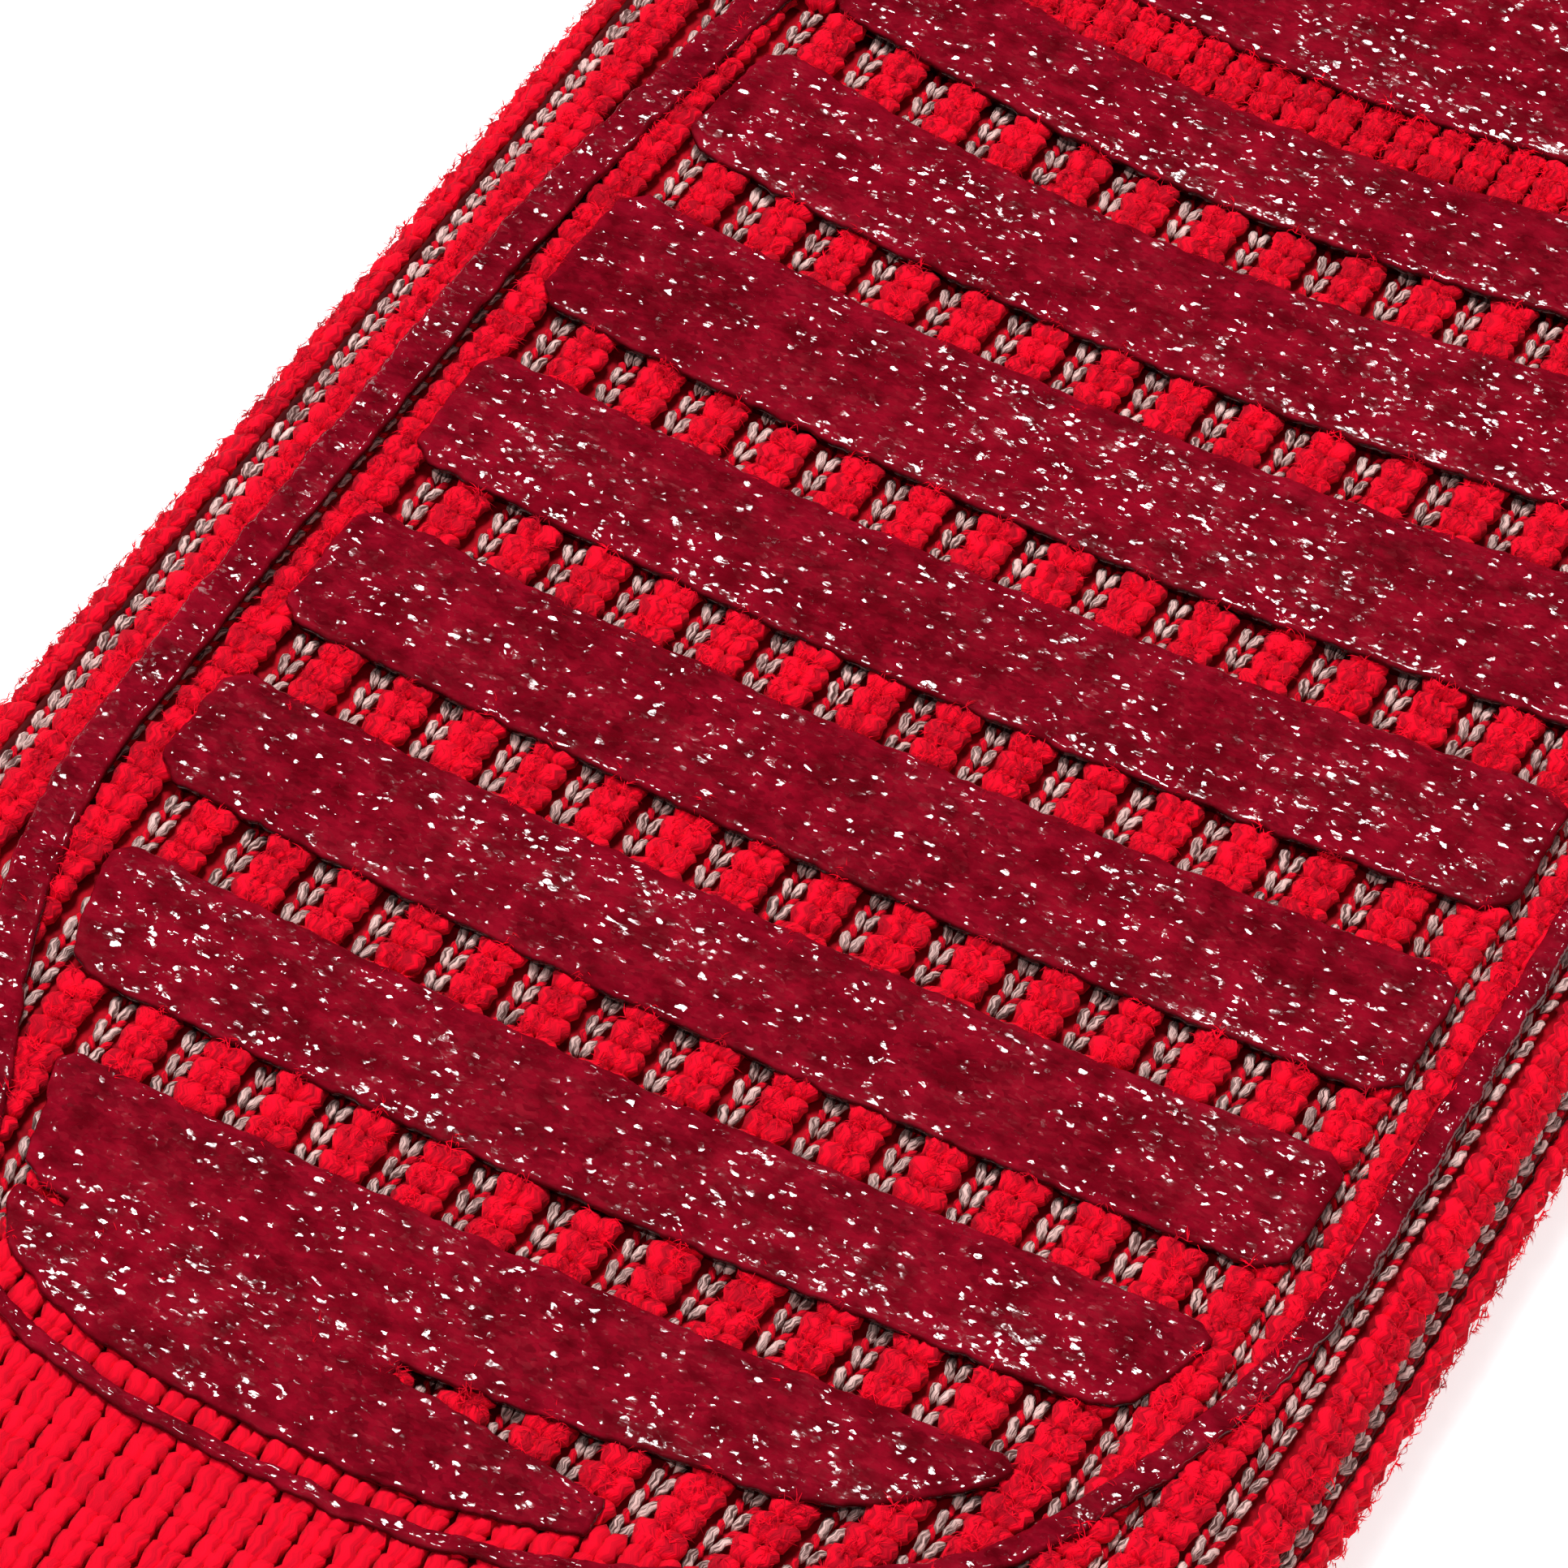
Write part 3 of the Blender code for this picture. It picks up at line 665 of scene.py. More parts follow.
def seen(table):
    """False for the stitches of the sole that a pad hides."""
    x, y, z = table[:, 0, 0], table[:, 0, 1], table[:, 0, 2]
    return ~((z > SOLE * 0.8) & under_pad(x, y, HIDDEN_MARGIN))


RED_HEIGHT = -0.00006  # the middle of a red stitch, over the sock's outer face
GREY_HEIGHT = -0.00052
SLIVER_HEIGHT = -0.00062
TOE_SIZE = (0.93, 1.22, 0.88)  # the toe is knitted more tightly
FLUFFY_WIDTH = 1.26  # the fluffier red yarn of the stripes swells over the grey beside it
place, facing, back = tube_spots(share_grid, station_grid)
tube_rows = spot_rows(place, facing, back, 1.0)
grey_column = column_grid % 2 == 1
plain_heel = (station_grid > HEEL_START) & (station_grid < ANKLE) & (np.abs(share_grid) < 0.25)
tube_grey = grey_column & ~plain_heel
toe_table = toe_spots()
all_rows = np.concatenate([tube_rows, toe_table])
all_grey = np.concatenate([tube_grey, np.zeros(len(toe_table), bool)])
all_station = all_rows[:, 0, 1] - TIP
showing = seen(all_rows)
fine = is_fine(all_rows)
all_rows[all_station < TOE_END, 3] = TOE_SIZE
striped = (all_station > TOE_END) & (all_station < HEEL_START) & ~all_grey
all_rows[striped, 3, 0] = FLUFFY_WIDTH


def raised(rows, height, shift=0.0):
    """The same spots, height out of the sock and shift towards the cuff."""
    moved = rows.copy()
    moved[:, 0] += rows[:, 1] * height + rows[:, 2] * shift
    return moved


on_toe = all_station < TOE_END
on_foot = (all_station >= TOE_END) & (all_station < HEEL_START)
on_heel = (all_station >= HEEL_START) & (all_station < ANKLE)
on_leg = all_station >= ANKLE

# Each piece of knitting: where it lies, how high, its stitches, its yarn and its slot.
foot_sole, instep = on_foot & fine, on_foot & ~fine
knitting = [
    ("toe_stitches", on_toe & fine, RED_HEIGHT, red_fine, toe_yarn, "red_yarn"),
    ("toe_underside_stitches", on_toe & ~fine, RED_HEIGHT, red_coarse, toe_yarn, "red_yarn"),
    ("foot_red_stitches", foot_sole & ~all_grey, RED_HEIGHT, red_fine, red_yarn, "striped_yarn"),
    ("foot_grey_stitches", foot_sole & all_grey, GREY_HEIGHT, grey_fine, grey_yarn, "striped_yarn"),
    ("foot_red_slivers", foot_sole & all_grey, SLIVER_HEIGHT, sliver_fine, red_yarn, "striped_yarn"),
    ("instep_red_stitches", instep & ~all_grey, RED_HEIGHT, red_coarse, red_yarn, "striped_yarn"),
    ("instep_grey_stitches", instep & all_grey, GREY_HEIGHT, grey_coarse, grey_yarn, "striped_yarn"),
    ("heel_front_stitches", on_heel & fine & ~all_grey, RED_HEIGHT, red_fine, red_yarn, "red_yarn"),
    ("heel_stitches", on_heel & ~fine & ~all_grey, RED_HEIGHT, red_coarse, red_yarn, "red_yarn"),
    ("heel_grey_stitches", on_heel & all_grey, GREY_HEIGHT, grey_coarse, grey_yarn, "striped_yarn"),
    ("leg_red_stitches", on_leg & ~all_grey, RED_HEIGHT, red_coarse, red_yarn, "striped_yarn"),
    ("leg_grey_stitches", on_leg & all_grey, GREY_HEIGHT, grey_coarse, grey_yarn, "striped_yarn"),
]
for seed, (name, zone, height, kinds, yarn, slot) in enumerate(knitting, 1):
    shift = COURSE / 2 if kinds is sliver_fine else 0.0
    sway = 0.14 if kinds is grey_fine else 0.10
    rows = raised(all_rows[zone & showing], height, shift)
    lay_stitches(name, rows, kinds, yarn, slot, seed, sway=sway)

# ---------------------------------------------------------------------------------------------------
# Fuzz: the brushed red yarn of the foot and heel throws out short soft fibres, so that its stitches
# run into one another and spread over the grey ones. A tuft is a few tapered fibres from one spot.
# ---------------------------------------------------------------------------------------------------

FIBRE = 0.000028  # radius where it leaves the yarn
FIBRE_LENGTH = 0.0008
TUFTS = 8  # on each stitch
TUFT_SIDE = 0.0010  # they leave the stitch this far either side of its middle
TUFT_HEIGHT = 0.00085  # this high in the middle
TUFT_FALL = 0.00055  # and this much lower at the sides
FUZZ_SPLIT = 0.082  # the fuzz of the foot is two pieces, which meet at this station


def tuft_shape(name, seed, fibres=5, sides=3):
    """A tuft of bent fibres that taper to a point."""
    build = bmesh.new()
    uv = build.loops.layers.uv.new("UVMap")
    chance = np.random.default_rng(seed)
    for _ in range(fibres):
        turn, lean = chance.uniform(0, 2 * math.pi), chance.uniform(0.7, 1.5)
        out = np.array([math.cos(turn), math.sin(turn), 0])
        length = FIBRE_LENGTH * chance.uniform(0.6, 1.2)
        ends = []
        for share, size in ((0.0, 1.0), (0.5, 0.8)):
            bent = lean + 0.5 * share
            centre = share * length * (out * math.sin(bent) + np.array([0, 0, math.cos(bent)]))
            across = np.array([-out[1], out[0], 0])
            ring = []
            for j in range(sides):
                angle = 2 * math.pi * j / sides
                reach = across * math.cos(angle) + np.array([0, 0, math.sin(angle)])
                ring.append(build.verts.new(centre + reach * FIBRE * size))
            ends.append(ring)
        end = out * math.sin(lean + 0.5) + np.array([0, 0, math.cos(lean + 0.5)])
        tip = build.verts.new(length * end)
        build.faces.new(ends[0])
        for j in range(sides):
            k = (j + 1) % sides
            build.faces.new((ends[0][j], ends[0][k], ends[1][k], ends[1][j]))
            build.faces.new((ends[1][j], ends[1][k], tip))
    for face in build.faces:
        for loop in face.loops:
            loop[uv].uv = (0.5, 0.5)
    bmesh.ops.recalc_face_normals(build, faces=build.faces)
    mesh = bpy.data.meshes.new(name)
    build.to_mesh(mesh)
    build.free()
    return bpy.data.objects.new(name, mesh)


tufts = [tuft_shape(f"tuft_{i}", 70 + i) for i in range(3)]


def tuft_rows(rows, seed):
    """Spots for the tufts all over these stitches, turned every way."""
    chance = np.random.default_rng(seed)
    rows = np.repeat(rows, TUFTS, axis=0)
    place, facing, back = rows[:, 0], rows[:, 1], rows[:, 2]
    across = np.cross(back, facing)
    side = chance.uniform(-1.0, 1.0, len(rows))[:, None]
    along = chance.uniform(-0.5, 0.5, len(rows))[:, None]
    place = place + across * side * TUFT_SIDE + back * along * COURSE
    place = place + facing * (TUFT_HEIGHT - TUFT_FALL * side**2)
    turn = chance.uniform(0, 2 * math.pi, len(rows))[:, None]
    leant = facing + 0.7 * side * across
    leant /= np.linalg.norm(leant, axis=1)[:, None]
    return spot_rows(place, leant, back * np.cos(turn) + across * np.sin(turn), 1.0)


near_red = fine & ~all_grey & showing
fluffy = [("foot_fuzz", on_foot & (all_station < FUZZ_SPLIT), "striped_yarn", 31),
          ("foot_back_fuzz", on_foot & (all_station >= FUZZ_SPLIT), "striped_yarn", 32),
          ("heel_fuzz", on_heel, "red_yarn", 33)]
for name, zone, slot, seed in fluffy:
    rows = raised(all_rows[near_red & zone], RED_HEIGHT)
    lay_stitches(name, tuft_rows(rows, seed), tufts, red_yarn, slot, seed, sway=0.2, change=0.2)

# ---------------------------------------------------------------------------------------------------
# Toe seam: the two edges of the toe linked together along its end, a firm cord with one chain stitch
# to each pair of loops. The cord's core is painted dark red, as painted shade between the stitches.
# ---------------------------------------------------------------------------------------------------

seam_low, seam_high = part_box("toe_linking_seam")
SEAM_RADIUS = (seam_high.z - seam_low.z) / 2
SEAM_CORE = 0.0007
SEAM_PITCH = 0.0014
seam_reach = TIP - (seam_low.y + SEAM_RADIUS)
seam_turn = math.asin((seam_high.x - SEAM_RADIUS) / (HALF_FOOT + seam_reach))
seam_count = round(2 * seam_turn * HALF_FOOT / SEAM_PITCH)
SEAM_SIZE = (0.85, 1.0, 0.8)


def seam_frame(turn, reach):
    """Place, outward way and onward way at this turn along the end of the toe."""
    place = np.array([(HALF_FOOT + reach) * math.sin(turn),
                      TIP + TOE_ROUNDING - (TOE_ROUNDING + reach) * math.cos(turn), SOLE / 2])
    onward = np.array([(HALF_FOOT + reach) * math.cos(turn), (TOE_ROUNDING + reach) * math.sin(turn), 0])
    onward /= np.linalg.norm(onward)
    return place, np.array([onward[1], -onward[0], 0]), onward


core_loops = []
for turn in np.linspace(-seam_turn, seam_turn, 60):
    place, outward, _ = seam_frame(turn, seam_reach)
    around = np.linspace(0, 2 * math.pi, 10, endpoint=False)[:, None]
    ring = outward * np.cos(around) + np.array([0, 0, 1.0]) * np.sin(around)
    core_loops.append(place + SEAM_CORE * ring)
core_points, core_faces = loft(core_loops, capped=True)
# The core takes the ground's dark yarn: painted shade between the chain stitches.
add_piece("toe_seam_core", mesh_of("toe_seam_core", core_points, core_faces), ground_yarn, "red_yarn",
          "toe_linking_seam")
seam_rows = []
for turn in np.linspace(-seam_turn, seam_turn, seam_count):
    place, outward, onward = seam_frame(turn, seam_reach)
    seam_rows.append((place, outward, onward, SEAM_SIZE))
lay_stitches("toe_seam_stitches", np.array(seam_rows), red_coarse, red_yarn, "red_yarn", 20)

# ---------------------------------------------------------------------------------------------------
# Cuff: one knit, one purl rib in red, folded over at the top and sewn down inside, with a woven
# elastic lying loose between its two layers.
# ---------------------------------------------------------------------------------------------------

cuff_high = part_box("ribbed_cuff")[1]
elastic_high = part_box("cuff_elastic")[1]
CUFF_HALF, CUFF_THICKNESS = cuff_high.x, cuff_high.z
CUFF_END = cuff_high.y - TIP
CUFF_DEPTH = 0.0041  # both layers of the cuff with the elastic between them
CUFF_GROUND = 0.0010
INNER_GROUND = 0.0032
POCKET_OUT, POCKET_IN = 0.0016, 0.0027
KNIT_DROP, PURL_DROP = 0.00015, 0.0011  # the purl columns lie deeper than the knit ones
KNIT_SIZE, PURL_SIZE = 1.12, 0.80
ELASTIC_ROOM = 0.0006  # between the end of the elastic and the fold
elastic_end = elastic_high.y - TIP + ELASTIC_ROOM


def cuff_place(share, station, inset):
    """A place on the cuff, for shares of its girth from the middle of the sole side."""
    radius = CUFF_THICKNESS / 2 - inset
    flat = CUFF_HALF - inset - radius
    run = np.abs(share) * (4 * flat + 2 * math.pi * radius)
    turn = np.clip((run - flat) / radius, 0.0, math.pi)
    under = np.maximum(run - flat - math.pi * radius, 0.0)
    x = np.where(share < 0, -1.0, 1.0) * (np.minimum(run, flat) + radius * np.sin(turn) - under)
    z = CUFF_THICKNESS / 2 + radius * np.cos(turn)
    return np.stack([x, np.full_like(x, station + TIP), z], axis=-1)


def welt_profile(outer, inner, steps):
    """Down the outside of the cuff, round its folded end and back inside it, as (station, inset)."""
    turn = (inner - outer) / 2
    bends = np.linspace(0, math.pi, steps)
    fold = CUFF_END - CUFF_DEPTH / 2
    return [(fold + turn * math.sin(b), outer + turn - turn * math.cos(b)) for b in bends]


cuff_shares = np.arange(RING_POINTS) / RING_POINTS - 0.5
profile = [(CUFF_START, POCKET_OUT), (CUFF_START, CUFF_GROUND), *welt_profile(CUFF_GROUND, INNER_GROUND, 9)]
profile += [(CUFF_START, INNER_GROUND), (CUFF_START, POCKET_IN)]
profile += [(elastic_end, POCKET_IN), (elastic_end, POCKET_OUT)]
cuff_points, cuff_faces = loft([cuff_place(cuff_shares, s, inset) for s, inset in profile])
# The cuff's ground takes the ground's dark yarn: painted shade between the stitches.
add_piece("cuff_ground", mesh_of("cuff_ground", cuff_points, cuff_faces), ground_yarn, "red_yarn",
          "ribbed_cuff")

bend = CUFF_DEPTH / 2
straight = CUFF_END - bend - CUFF_START
full_run = 2 * straight + math.pi * bend
cuff_outer, cuff_inner = [], []
for course in np.arange(COURSE / 2, full_run, COURSE):
    if course < straight:
        station, inset, tilt = CUFF_START + course, 0.0, 0.0
    elif course < straight + math.pi * bend:
        tilt = (course - straight) / bend
        station = CUFF_END - bend + bend * math.sin(tilt)
        inset = bend - bend * math.cos(tilt)
    else:
        station = CUFF_END - bend - (course - straight - math.pi * bend)
        inset, tilt = CUFF_DEPTH, math.pi
    shares = (columns + FIRST_WALE / WALE + 0.5) / WALES
    shares = (shares + 0.5) % 1.0 - 0.5
    place = cuff_place(shares, station, inset)
    across = cuff_place(shares + 0.0004, station, inset) - cuff_place(shares - 0.0004, station, inset)
    out = np.cross(across, (0, 1.0, 0))
    out /= np.linalg.norm(out, axis=1)[:, None]
    facing = out * math.cos(tilt) + np.array([0, math.sin(tilt), 0])
    back = np.array([0, math.cos(tilt), 0]) - out * math.sin(tilt)
    drop = np.where(columns % 2 == 0, KNIT_DROP, PURL_DROP)[:, None]
    size = np.where(columns % 2 == 0, KNIT_SIZE, PURL_SIZE)
    rows = np.stack([place - facing * drop, facing, back, np.repeat(size[:, None], 3, axis=1)], axis=1)
    (cuff_inner if tilt == math.pi else cuff_outer).append(rows)
lay_stitches("cuff_stitches", np.concatenate(cuff_outer), red_coarse, red_yarn, "red_yarn", 21)
lay_stitches("cuff_inner_stitches", np.concatenate(cuff_inner), red_coarse, red_yarn, "red_yarn", 22)

elastic_finish, dye, shader = new_finish("woven_elastic", {"Roughness": 0.6, "Specular IOR Level": 0.3})
place = dye.node("ShaderNodeTexCoord", {}, {}, 3)
cords = dye.node("ShaderNodeTexWave", {"bands_direction": "Y"}, {"Vector": place, "Scale": 260.0,
                                                                   "Distortion": 1.0})
feed(cords.mix((0.52, 0.50, 0.46, 1), (0.80, 0.78, 0.74, 1)), shader, "Base Color")
feed(dye.node("ShaderNodeBump", {}, {"Distance": 0.0003, "Height": cords}), shader, "Normal")
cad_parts["cuff_elastic"].material_slots[0].material = elastic_finish

# ---------------------------------------------------------------------------------------------------
# Tread: liquid latex pressed through a screen in bars, a crescent at the toe, a heel pad and a band
# round them all. It dries as a thick skin over the stitches, with full round edges and a bubbly face.
# ---------------------------------------------------------------------------------------------------

COAT = 0.00100  # height of the skin over the sock's outer face
LIP = 0.00034  # radius of its edge
CELL = 0.00021  # of the grid that shapes its face
HEEL_CELL = 0.0004
EVEN_STEP = 0.0004
EDGE_STEP = 0.00015
EDGE_WAVER = 0.00020
WAVER_MIDDLE = 0.4
LIP_TURNS = np.radians([22, 45, 68, 90, 112, 135, 155])
DROOP = 0.00012  # the skin sinks by this towards its edge
DROOP_REACH = 0.0010
UNDER = 0.0003  # the edge reaches this far down, below the tops of the stitches
WALE_RELIEF, GROOVE, COURSE_RELIEF = 0.000035, 0.00003, 0.00002  # the knit shows through the skin
# Sags, dimples and small bubbles: height, size, stretch and seed.
SAGS = [(0.00009, 0.0021, 1.3, 1.0), (0.00007, 0.0009, 1.5, 7.0), (0.000035, 0.00045, 1.4, 13.0)]
FACET = 0.00024  # the face dries in flat facets of this size


def sole_top(x, y):
    """Height of the sock's outer face on the sole side."""
    station = y - TIP
    radius = fold_radius(station)
    over = np.clip(np.abs(x) - (half_width(station) - radius), 0.0, radius * 0.999)
    fall = radius - np.sqrt(radius * radius - over * over)
    return middle_height(station) + radius - fall + heel_rise(x, station)


def grains(points, size, stretch, seed):
    """Smooth random values between -1 and 1 at these places, one bump to each size across."""
    scale = (1 / (size * stretch), 1 / size)
    return np.array([noise.noise((x * scale[0], y * scale[1], seed)) for x, y in points])


def coat_relief(x, y):
    """How far the skin's face leaves its mean height: the stitches below, sags and small bubbles."""
    column = (x - FIRST_WALE) / WALE
    course = (y - TIP) / COURSE
    vee = np.abs((column + 0.5) % 1.0 - 0.5)
    relief = WALE_RELIEF * np.cos(math.pi * column) - GROOVE * (vee > 0.44)
    relief = relief + COURSE_RELIEF * np.cos(2 * math.pi * (course - 1.2 * vee))
    points = np.stack([x, y], axis=-1).tolist()
    for height, size, stretch, seed in SAGS:
        relief = relief + height * grains(points, size, stretch, seed)
    return relief


def softened(loop):
    """The loop with its corners cut twice."""
    for _ in range(2):
        ahead = np.roll(loop, -1, axis=0)
        loop = np.stack([0.75 * loop + 0.25 * ahead, 0.25 * loop + 0.75 * ahead], axis=1).reshape(-1, 2)
    return loop


def evenly(points, count, closed):
    """This many points along a line, or count round a loop."""
    if closed:
        points = np.vstack([points, points[:1]])
    run = np.concatenate([[0.0], np.cumsum(np.linalg.norm(np.diff(points, axis=0), axis=1))])
    stops = np.linspace(0, run[-1], count, endpoint=not closed)
    return np.stack([np.interp(stops, run, points[:, i]) for i in (0, 1)], axis=-1)


def length_round(loop):
    return np.linalg.norm(np.roll(loop, -1, axis=0) - loop, axis=1).sum()


def outward_ways(loop, reach=1):
    """Square to a counter-clockwise loop at each point, away from its inside."""
    way = np.roll(loop, -reach, axis=0) - np.roll(loop, reach, axis=0)
    way /= np.linalg.norm(way, axis=1)[:, None]
    return np.stack([way[:, 1], -way[:, 0]], axis=-1)


def wavered(rim, seed):
    """The rim of a pad, softened and with the small waver that the stitches give it."""
    loop = softened(evenly(rim, round(length_round(rim) / EVEN_STEP), closed=True))
    loop = evenly(loop, round(length_round(loop) / EDGE_STEP), closed=True)
    waver = grains(loop.tolist(), 0.0016, 1.0, seed) + 0.5 * grains(loop.tolist(), 0.0006, 1.0, seed)
    return loop + outward_ways(loop, 3) * (EDGE_WAVER * (waver - WAVER_MIDDLE))[:, None]


def stretch_of(loop, start, end, count):
    """One side of a pad: the part of its loop from start to end, in this many even steps."""
    run = np.roll(loop, -start, axis=0)[: (end - start) % len(loop) + 1]
    return evenly(run, count + 1, closed=False)


def coat_finish():
    """Dark red latex: glossy, and dried in small flat facets that throw the lamp back one by one. Faces
    that turn down at the edges are painted near black, as painted shade under the edges.
    """
    finish, dye, shader = new_finish("grip_rubber", {"Specular IOR Level": 0.5, "IOR": 1.5})
    place = dye.node("ShaderNodeTexCoord", {}, {}, 3)
    wide = dye.node("ShaderNodeMapping", {}, {"Vector": place, "Scale": (0.58, 1.0, 1.0)})

    def cloud(size, detail, output=0):
        sockets = {"Vector": wide, "Scale": 1 / size, "Detail": detail, "Roughness": 0.6}
        return dye.node("ShaderNodeTexNoise", {}, sockets, output)

    def vector(operation, sockets):
        return dye.node("ShaderNodeVectorMath", {"operation": operation}, sockets)

    tone = cloud(0.0016, 6.0).ramp(0.33, 0.68)
    ribs = dye.node("ShaderNodeTexWave", {}, {"Vector": place, "Scale": 138.0, "Distortion": 2.0,
                                              "Detail": 2.0, "Detail Scale": 3.0})
    tone = tone * 0.8 + ribs * 0.2
    face = dye.node("ShaderNodeNewGeometry", {}, {}, 1)
    level = dye.node("ShaderNodeSeparateXYZ", {}, {"Vector": face}, 2)
    skin = tone.mix((0.105, 0.0008, 0.0045, 1), (0.255, 0.0026, 0.0140, 1))
    # Faces that turn down are painted near black: painted shade in the recess under each edge of the skin.
    feed(level.ramp(0.15, 0.86).mix((0.012, 0.0004, 0.0012, 1), skin), shader, "Base Color")
    feed(cloud(0.0040, 2.0).ramp(0.3, 0.7) * 0.10 + 0.10, shader, "Roughness")
    shaken = vector("MULTIPLY_ADD", {0: cloud(0.00060, 2.0, 1), 1: (0.0005, 0.0005, 0.0), 2: wide})
    cells = dye.node("ShaderNodeTexVoronoi", {}, {"Vector": shaken, "Scale": 1 / FACET}, 1)
    leaning = vector("MULTIPLY_ADD", {0: cells, 1: (2.0, 2.0, 0.0), 2: (-1.0, -1.0, 0.0)})
    lean = cloud(0.0090, 2.0).ramp(0.35, 0.65) * 0.40 + 0.40
    lean = lean * (level.ramp(0.955, 0.992) * 0.65 + 0.35)
    tilt = vector("SCALE", {0: leaning, "Scale": lean})
    facet = vector("NORMALIZE", {0: vector("ADD", {0: face, 1: tilt})})
    sags = cloud(0.0011, 3.0)
    bump = {"Strength": 1.0, "Distance": 0.00010, "Height": sags, "Normal": facet}
    feed(dye.node("ShaderNodeBump", {}, bump), shader, "Normal")
    return finish


rubber = coat_finish()


def coat_pad(node, corner_slant, seed):
    """One pad of the skin: a fine grid over the pad's outline, with a round edge that turns under."""
    loop = wavered(pad_rims[node], seed)
    loop = loop - outward_ways(loop, 3) * LIP
    near_left = int(np.argmax(loop @ (-1, -corner_slant)))
    near_right = int(np.argmax(loop @ (1, -corner_slant)))
    far_right = int(np.argmax(loop @ (1, corner_slant)))
    far_left = int(np.argmax(loop @ (-1, corner_slant)))
    cell = HEEL_CELL if node == "grip_heel_pad" else CELL
    across = round(np.ptp(loop[:, 0]) / cell)
    up = max(round(np.ptp(loop[:, 1]) / cell), 4)
    near = stretch_of(loop, near_left, near_right, across)
    right = stretch_of(loop, near_right, far_right, up)
    far = stretch_of(loop, far_right, far_left, across)[::-1]
    left = stretch_of(loop, far_left, near_left, up)[::-1]
    u = np.linspace(0, 1, across + 1)[:, None, None]
    v = np.linspace(0, 1, up + 1)[None, :, None]
    flat = (1 - v) * near[:, None] + v * far[:, None] + (1 - u) * left[None] + u * right[None]
    flat -= (1 - u) * ((1 - v) * near[0] + v * far[0]) + u * ((1 - v) * near[-1] + v * far[-1])
    columns_count, rows_count = flat.shape[:2]
    index = np.arange(columns_count * rows_count).reshape(columns_count, rows_count)
    x, y = flat[..., 0].ravel(), flat[..., 1].ravel()
    deep = np.minimum(v, 1 - v)[..., 0] * np.linalg.norm(far - near, axis=1)[:, None]
    wide = np.minimum(u, 1 - u)[..., 0] * np.linalg.norm(right - left, axis=1)[None]
    near_edge = np.clip(1 - np.minimum(deep, wide).ravel() / DROOP_REACH, 0, 1)
    top = sole_top(x, y) + COAT + coat_relief(x, y) - DROOP * near_edge**2
    points = np.stack([x, y, top], axis=-1)
    faces = np.stack([index[:-1, :-1], index[1:, :-1], index[1:, 1:], index[:-1, 1:]], axis=-1)
    faces = faces.reshape(-1, 4).tolist()
    border = np.concatenate([index[:, 0], index[-1, 1:], index[-2::-1, -1], index[0, -2:0:-1]])
    rim = points[border]
    away = outward_ways(rim[:, :2], 4)
    before = border
    stack = [points]
    count = len(points)
    rings = [(math.sin(turn), 1 - math.cos(turn)) for turn in LIP_TURNS] + [(0.1, None)]
    for reach, fall in rings:
        spread = rim[:, :2] + away * (LIP * reach)
        low = sole_top(rim[:, 0], rim[:, 1]) - UNDER
        z = low if fall is None else rim[:, 2] - LIP * fall
        stack.append(np.column_stack([spread, z]))
        after = np.arange(count, count + len(border))
        count += len(border)
        faces += np.stack([before, after, np.roll(after, -1), np.roll(before, -1)], axis=-1).tolist()
        before = after
    faces.append(before[::-1].tolist())
    mesh = bpy.data.meshes.new(node.replace("grip", "coat"))
    mesh.from_pydata(np.concatenate(stack).tolist(), [], faces)
    mesh.shade_smooth()
    return mesh


for order, node in enumerate(PADS):
    slant = 0.25 if node == "grip_toe_pad" else 1.0
    pad = coat_pad(node, slant, 30.0 + order)
    add_piece(pad.name, pad, rubber, "grip_rubber", node)

# Where the first gap is shut, the rubber has run across it in a shallow groove.
SMEAR_HALF = 0.0011
SMEAR_START = 0.0030  # from the first pad's end
SMEAR_END = 0.0
SMEAR_DROP = 0.00016


def edge_at(rim, x, pick):
    """Where a rim crosses this x: its lowest or its highest crossing."""
    ahead = np.roll(rim, -1, axis=0)
    crossing = (rim[:, 0] > x) != (ahead[:, 0] > x)
    here, there = rim[crossing], ahead[crossing]
    return pick(here[:, 1] + (x - here[:, 0]) * (there[:, 1] - here[:, 1]) / (there[:, 0] - here[:, 0]))


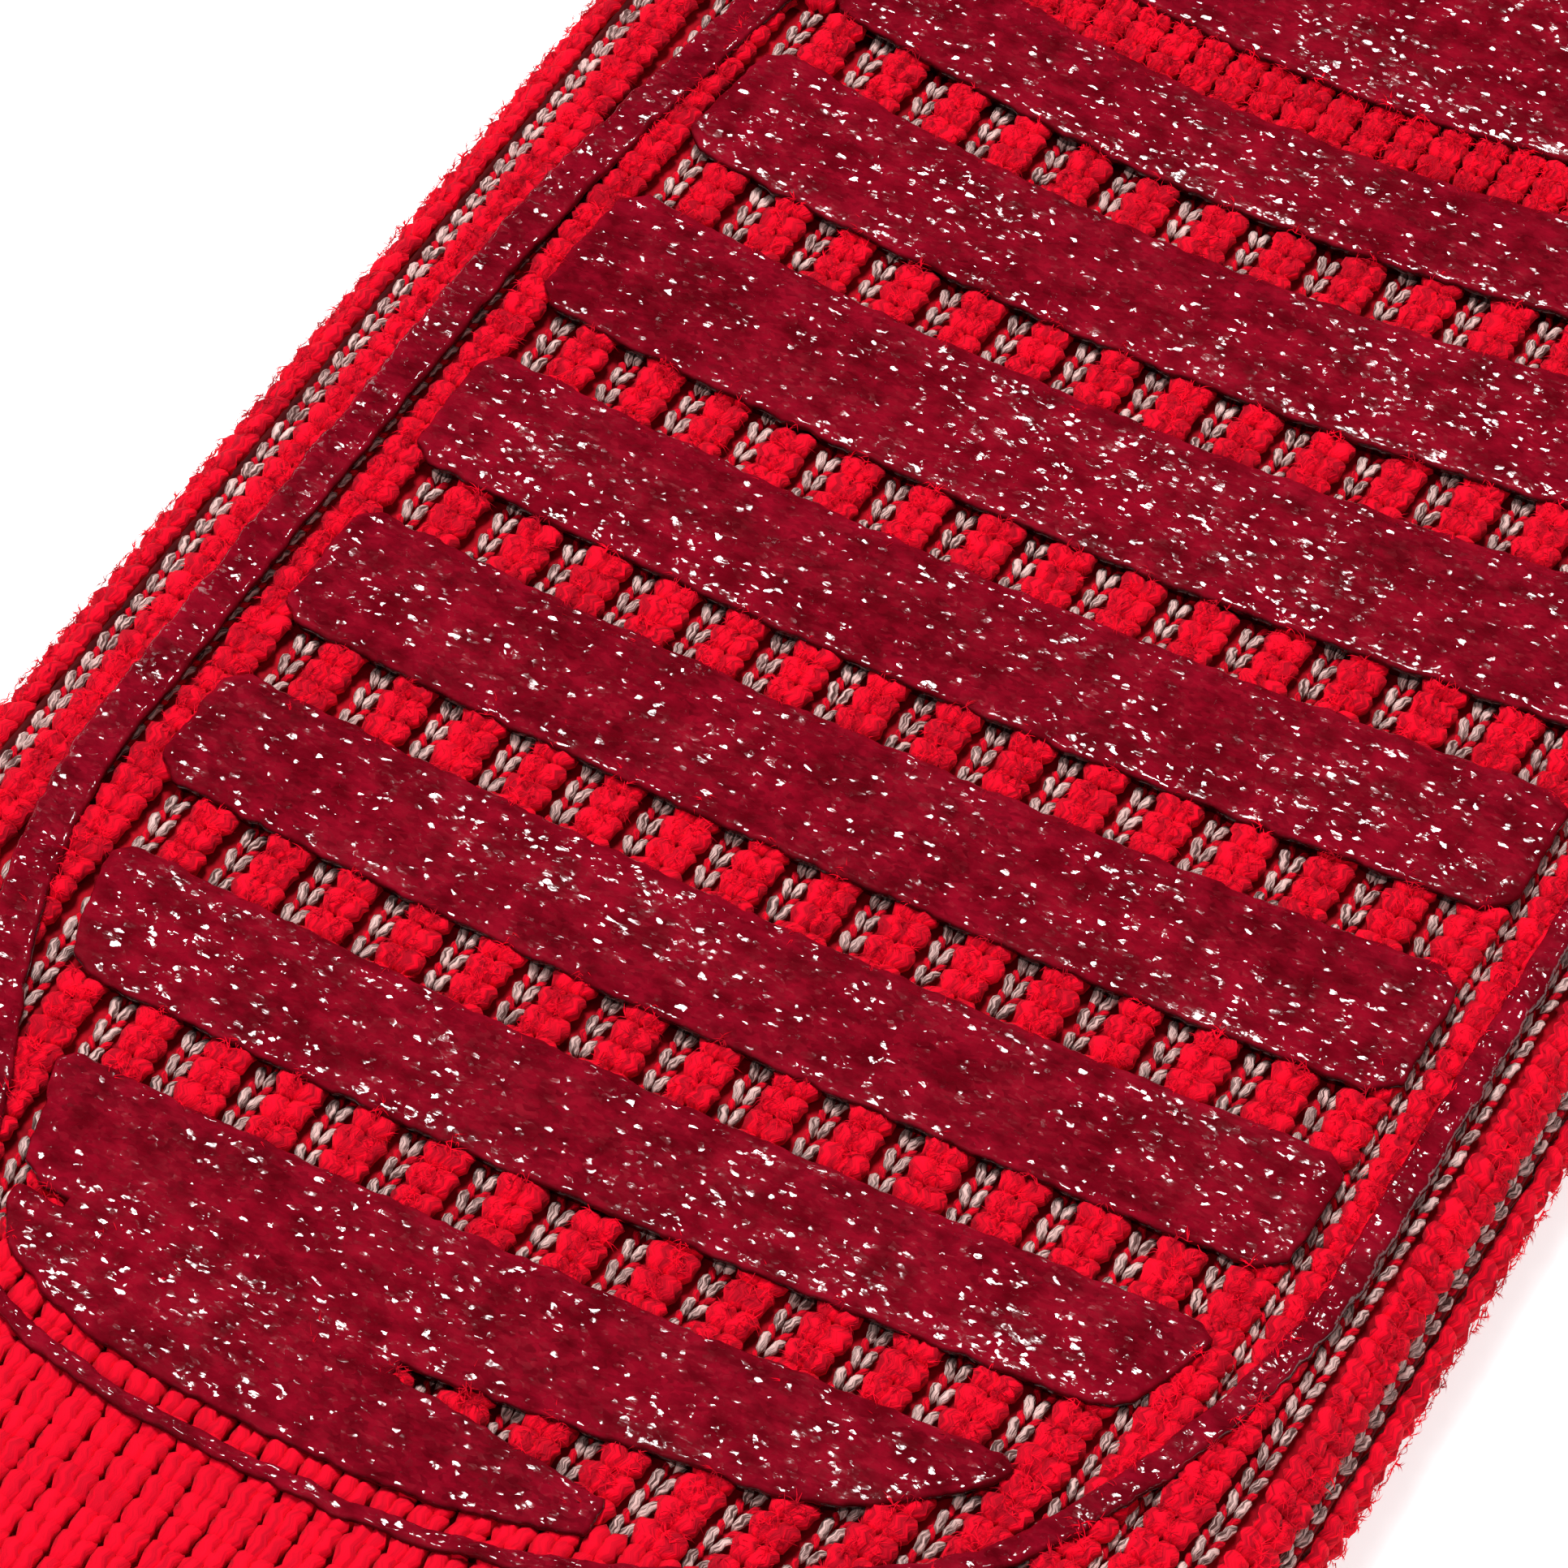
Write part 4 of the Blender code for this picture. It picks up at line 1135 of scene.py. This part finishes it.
crescent, first_bar = pad_rims["grip_toe_pad"], pad_rims["grip_bar_1"]
smear_start = max(crescent[:, 0].min(), first_bar[:, 0].min()) + SMEAR_START
smear_steps = np.arange(smear_start, SMEAR_END, CELL)
smear_across = np.linspace(-1, 1, 13)
smear_rows = []
for x in smear_steps:
    middle = (edge_at(crescent, x, max) + edge_at(first_bar, x, min)) / 2
    y = middle + SMEAR_HALF * smear_across
    spread = np.full_like(y, x)
    top = sole_top(spread, y) + COAT - SMEAR_DROP * (1 + 2 * smear_across**4) + coat_relief(spread, y)
    upper = np.stack([spread, y, top], axis=-1)
    lower = np.stack([spread[::-1], y[::-1], sole_top(spread, y) - UNDER], axis=-1)
    smear_rows.append(np.concatenate([upper, lower]))
smear_points, smear_faces = loft(smear_rows, capped=True)
add_piece("coat_smear", mesh_of("coat_smear", smear_points, smear_faces), rubber, "grip_rubber")

# The band is one strip all the way round, narrow at the toe and wider on one side.
BAND_STEP = 0.00026
BAND_COLUMNS = 7
BAND_DROP = 0.0001  # the band is this much thinner than the pads
BAND_CRUST = 2.0  # and this much rougher
band_outer, band_inner = rim_loops("grip_band")
band_outer = wavered(band_outer, 50.0)
band_outer = evenly(band_outer, round(length_round(band_outer) / BAND_STEP), closed=True)
band_inner = wavered(band_inner[::-1], 60.0)
nearest = [int(np.argmin(((band_inner - point) ** 2).sum(axis=1))) for point in band_outer]
band_inner = band_inner[nearest]
strip = band_inner - band_outer
width = np.linalg.norm(strip, axis=1)[:, None]
strip /= width
lip = np.minimum(LIP, width * 0.35)
band_turns = np.concatenate([[0.0], LIP_TURNS])
reaches = [(lip * (1 - math.sin(turn)), lip * (1 - math.cos(turn))) for turn in band_turns[::-1]]
reaches += [(lip + (width - 2 * lip) * i / BAND_COLUMNS, 0 * lip) for i in range(1, BAND_COLUMNS)]
reaches += [(width - lip * (1 - math.sin(turn)), lip * (1 - math.cos(turn))) for turn in band_turns]
reaches = [(lip * 0.9, None), *reaches, (width - lip * 0.9, None)]
band_rows = []
for reach, fall in reaches:
    spot = band_outer + strip * reach
    ground = sole_top(spot[:, 0], spot[:, 1])
    if fall is None:
        z = ground - UNDER
    else:
        z = ground + COAT - BAND_DROP + BAND_CRUST * coat_relief(spot[:, 0], spot[:, 1]) - fall[:, 0]
    band_rows.append(np.column_stack([spot, z]))
band_points, band_faces = loft(band_rows)
add_piece("coat_band", mesh_of("coat_band", band_points, band_faces), rubber, "grip_rubber", "grip_band")

bpy.context.view_layer.update()
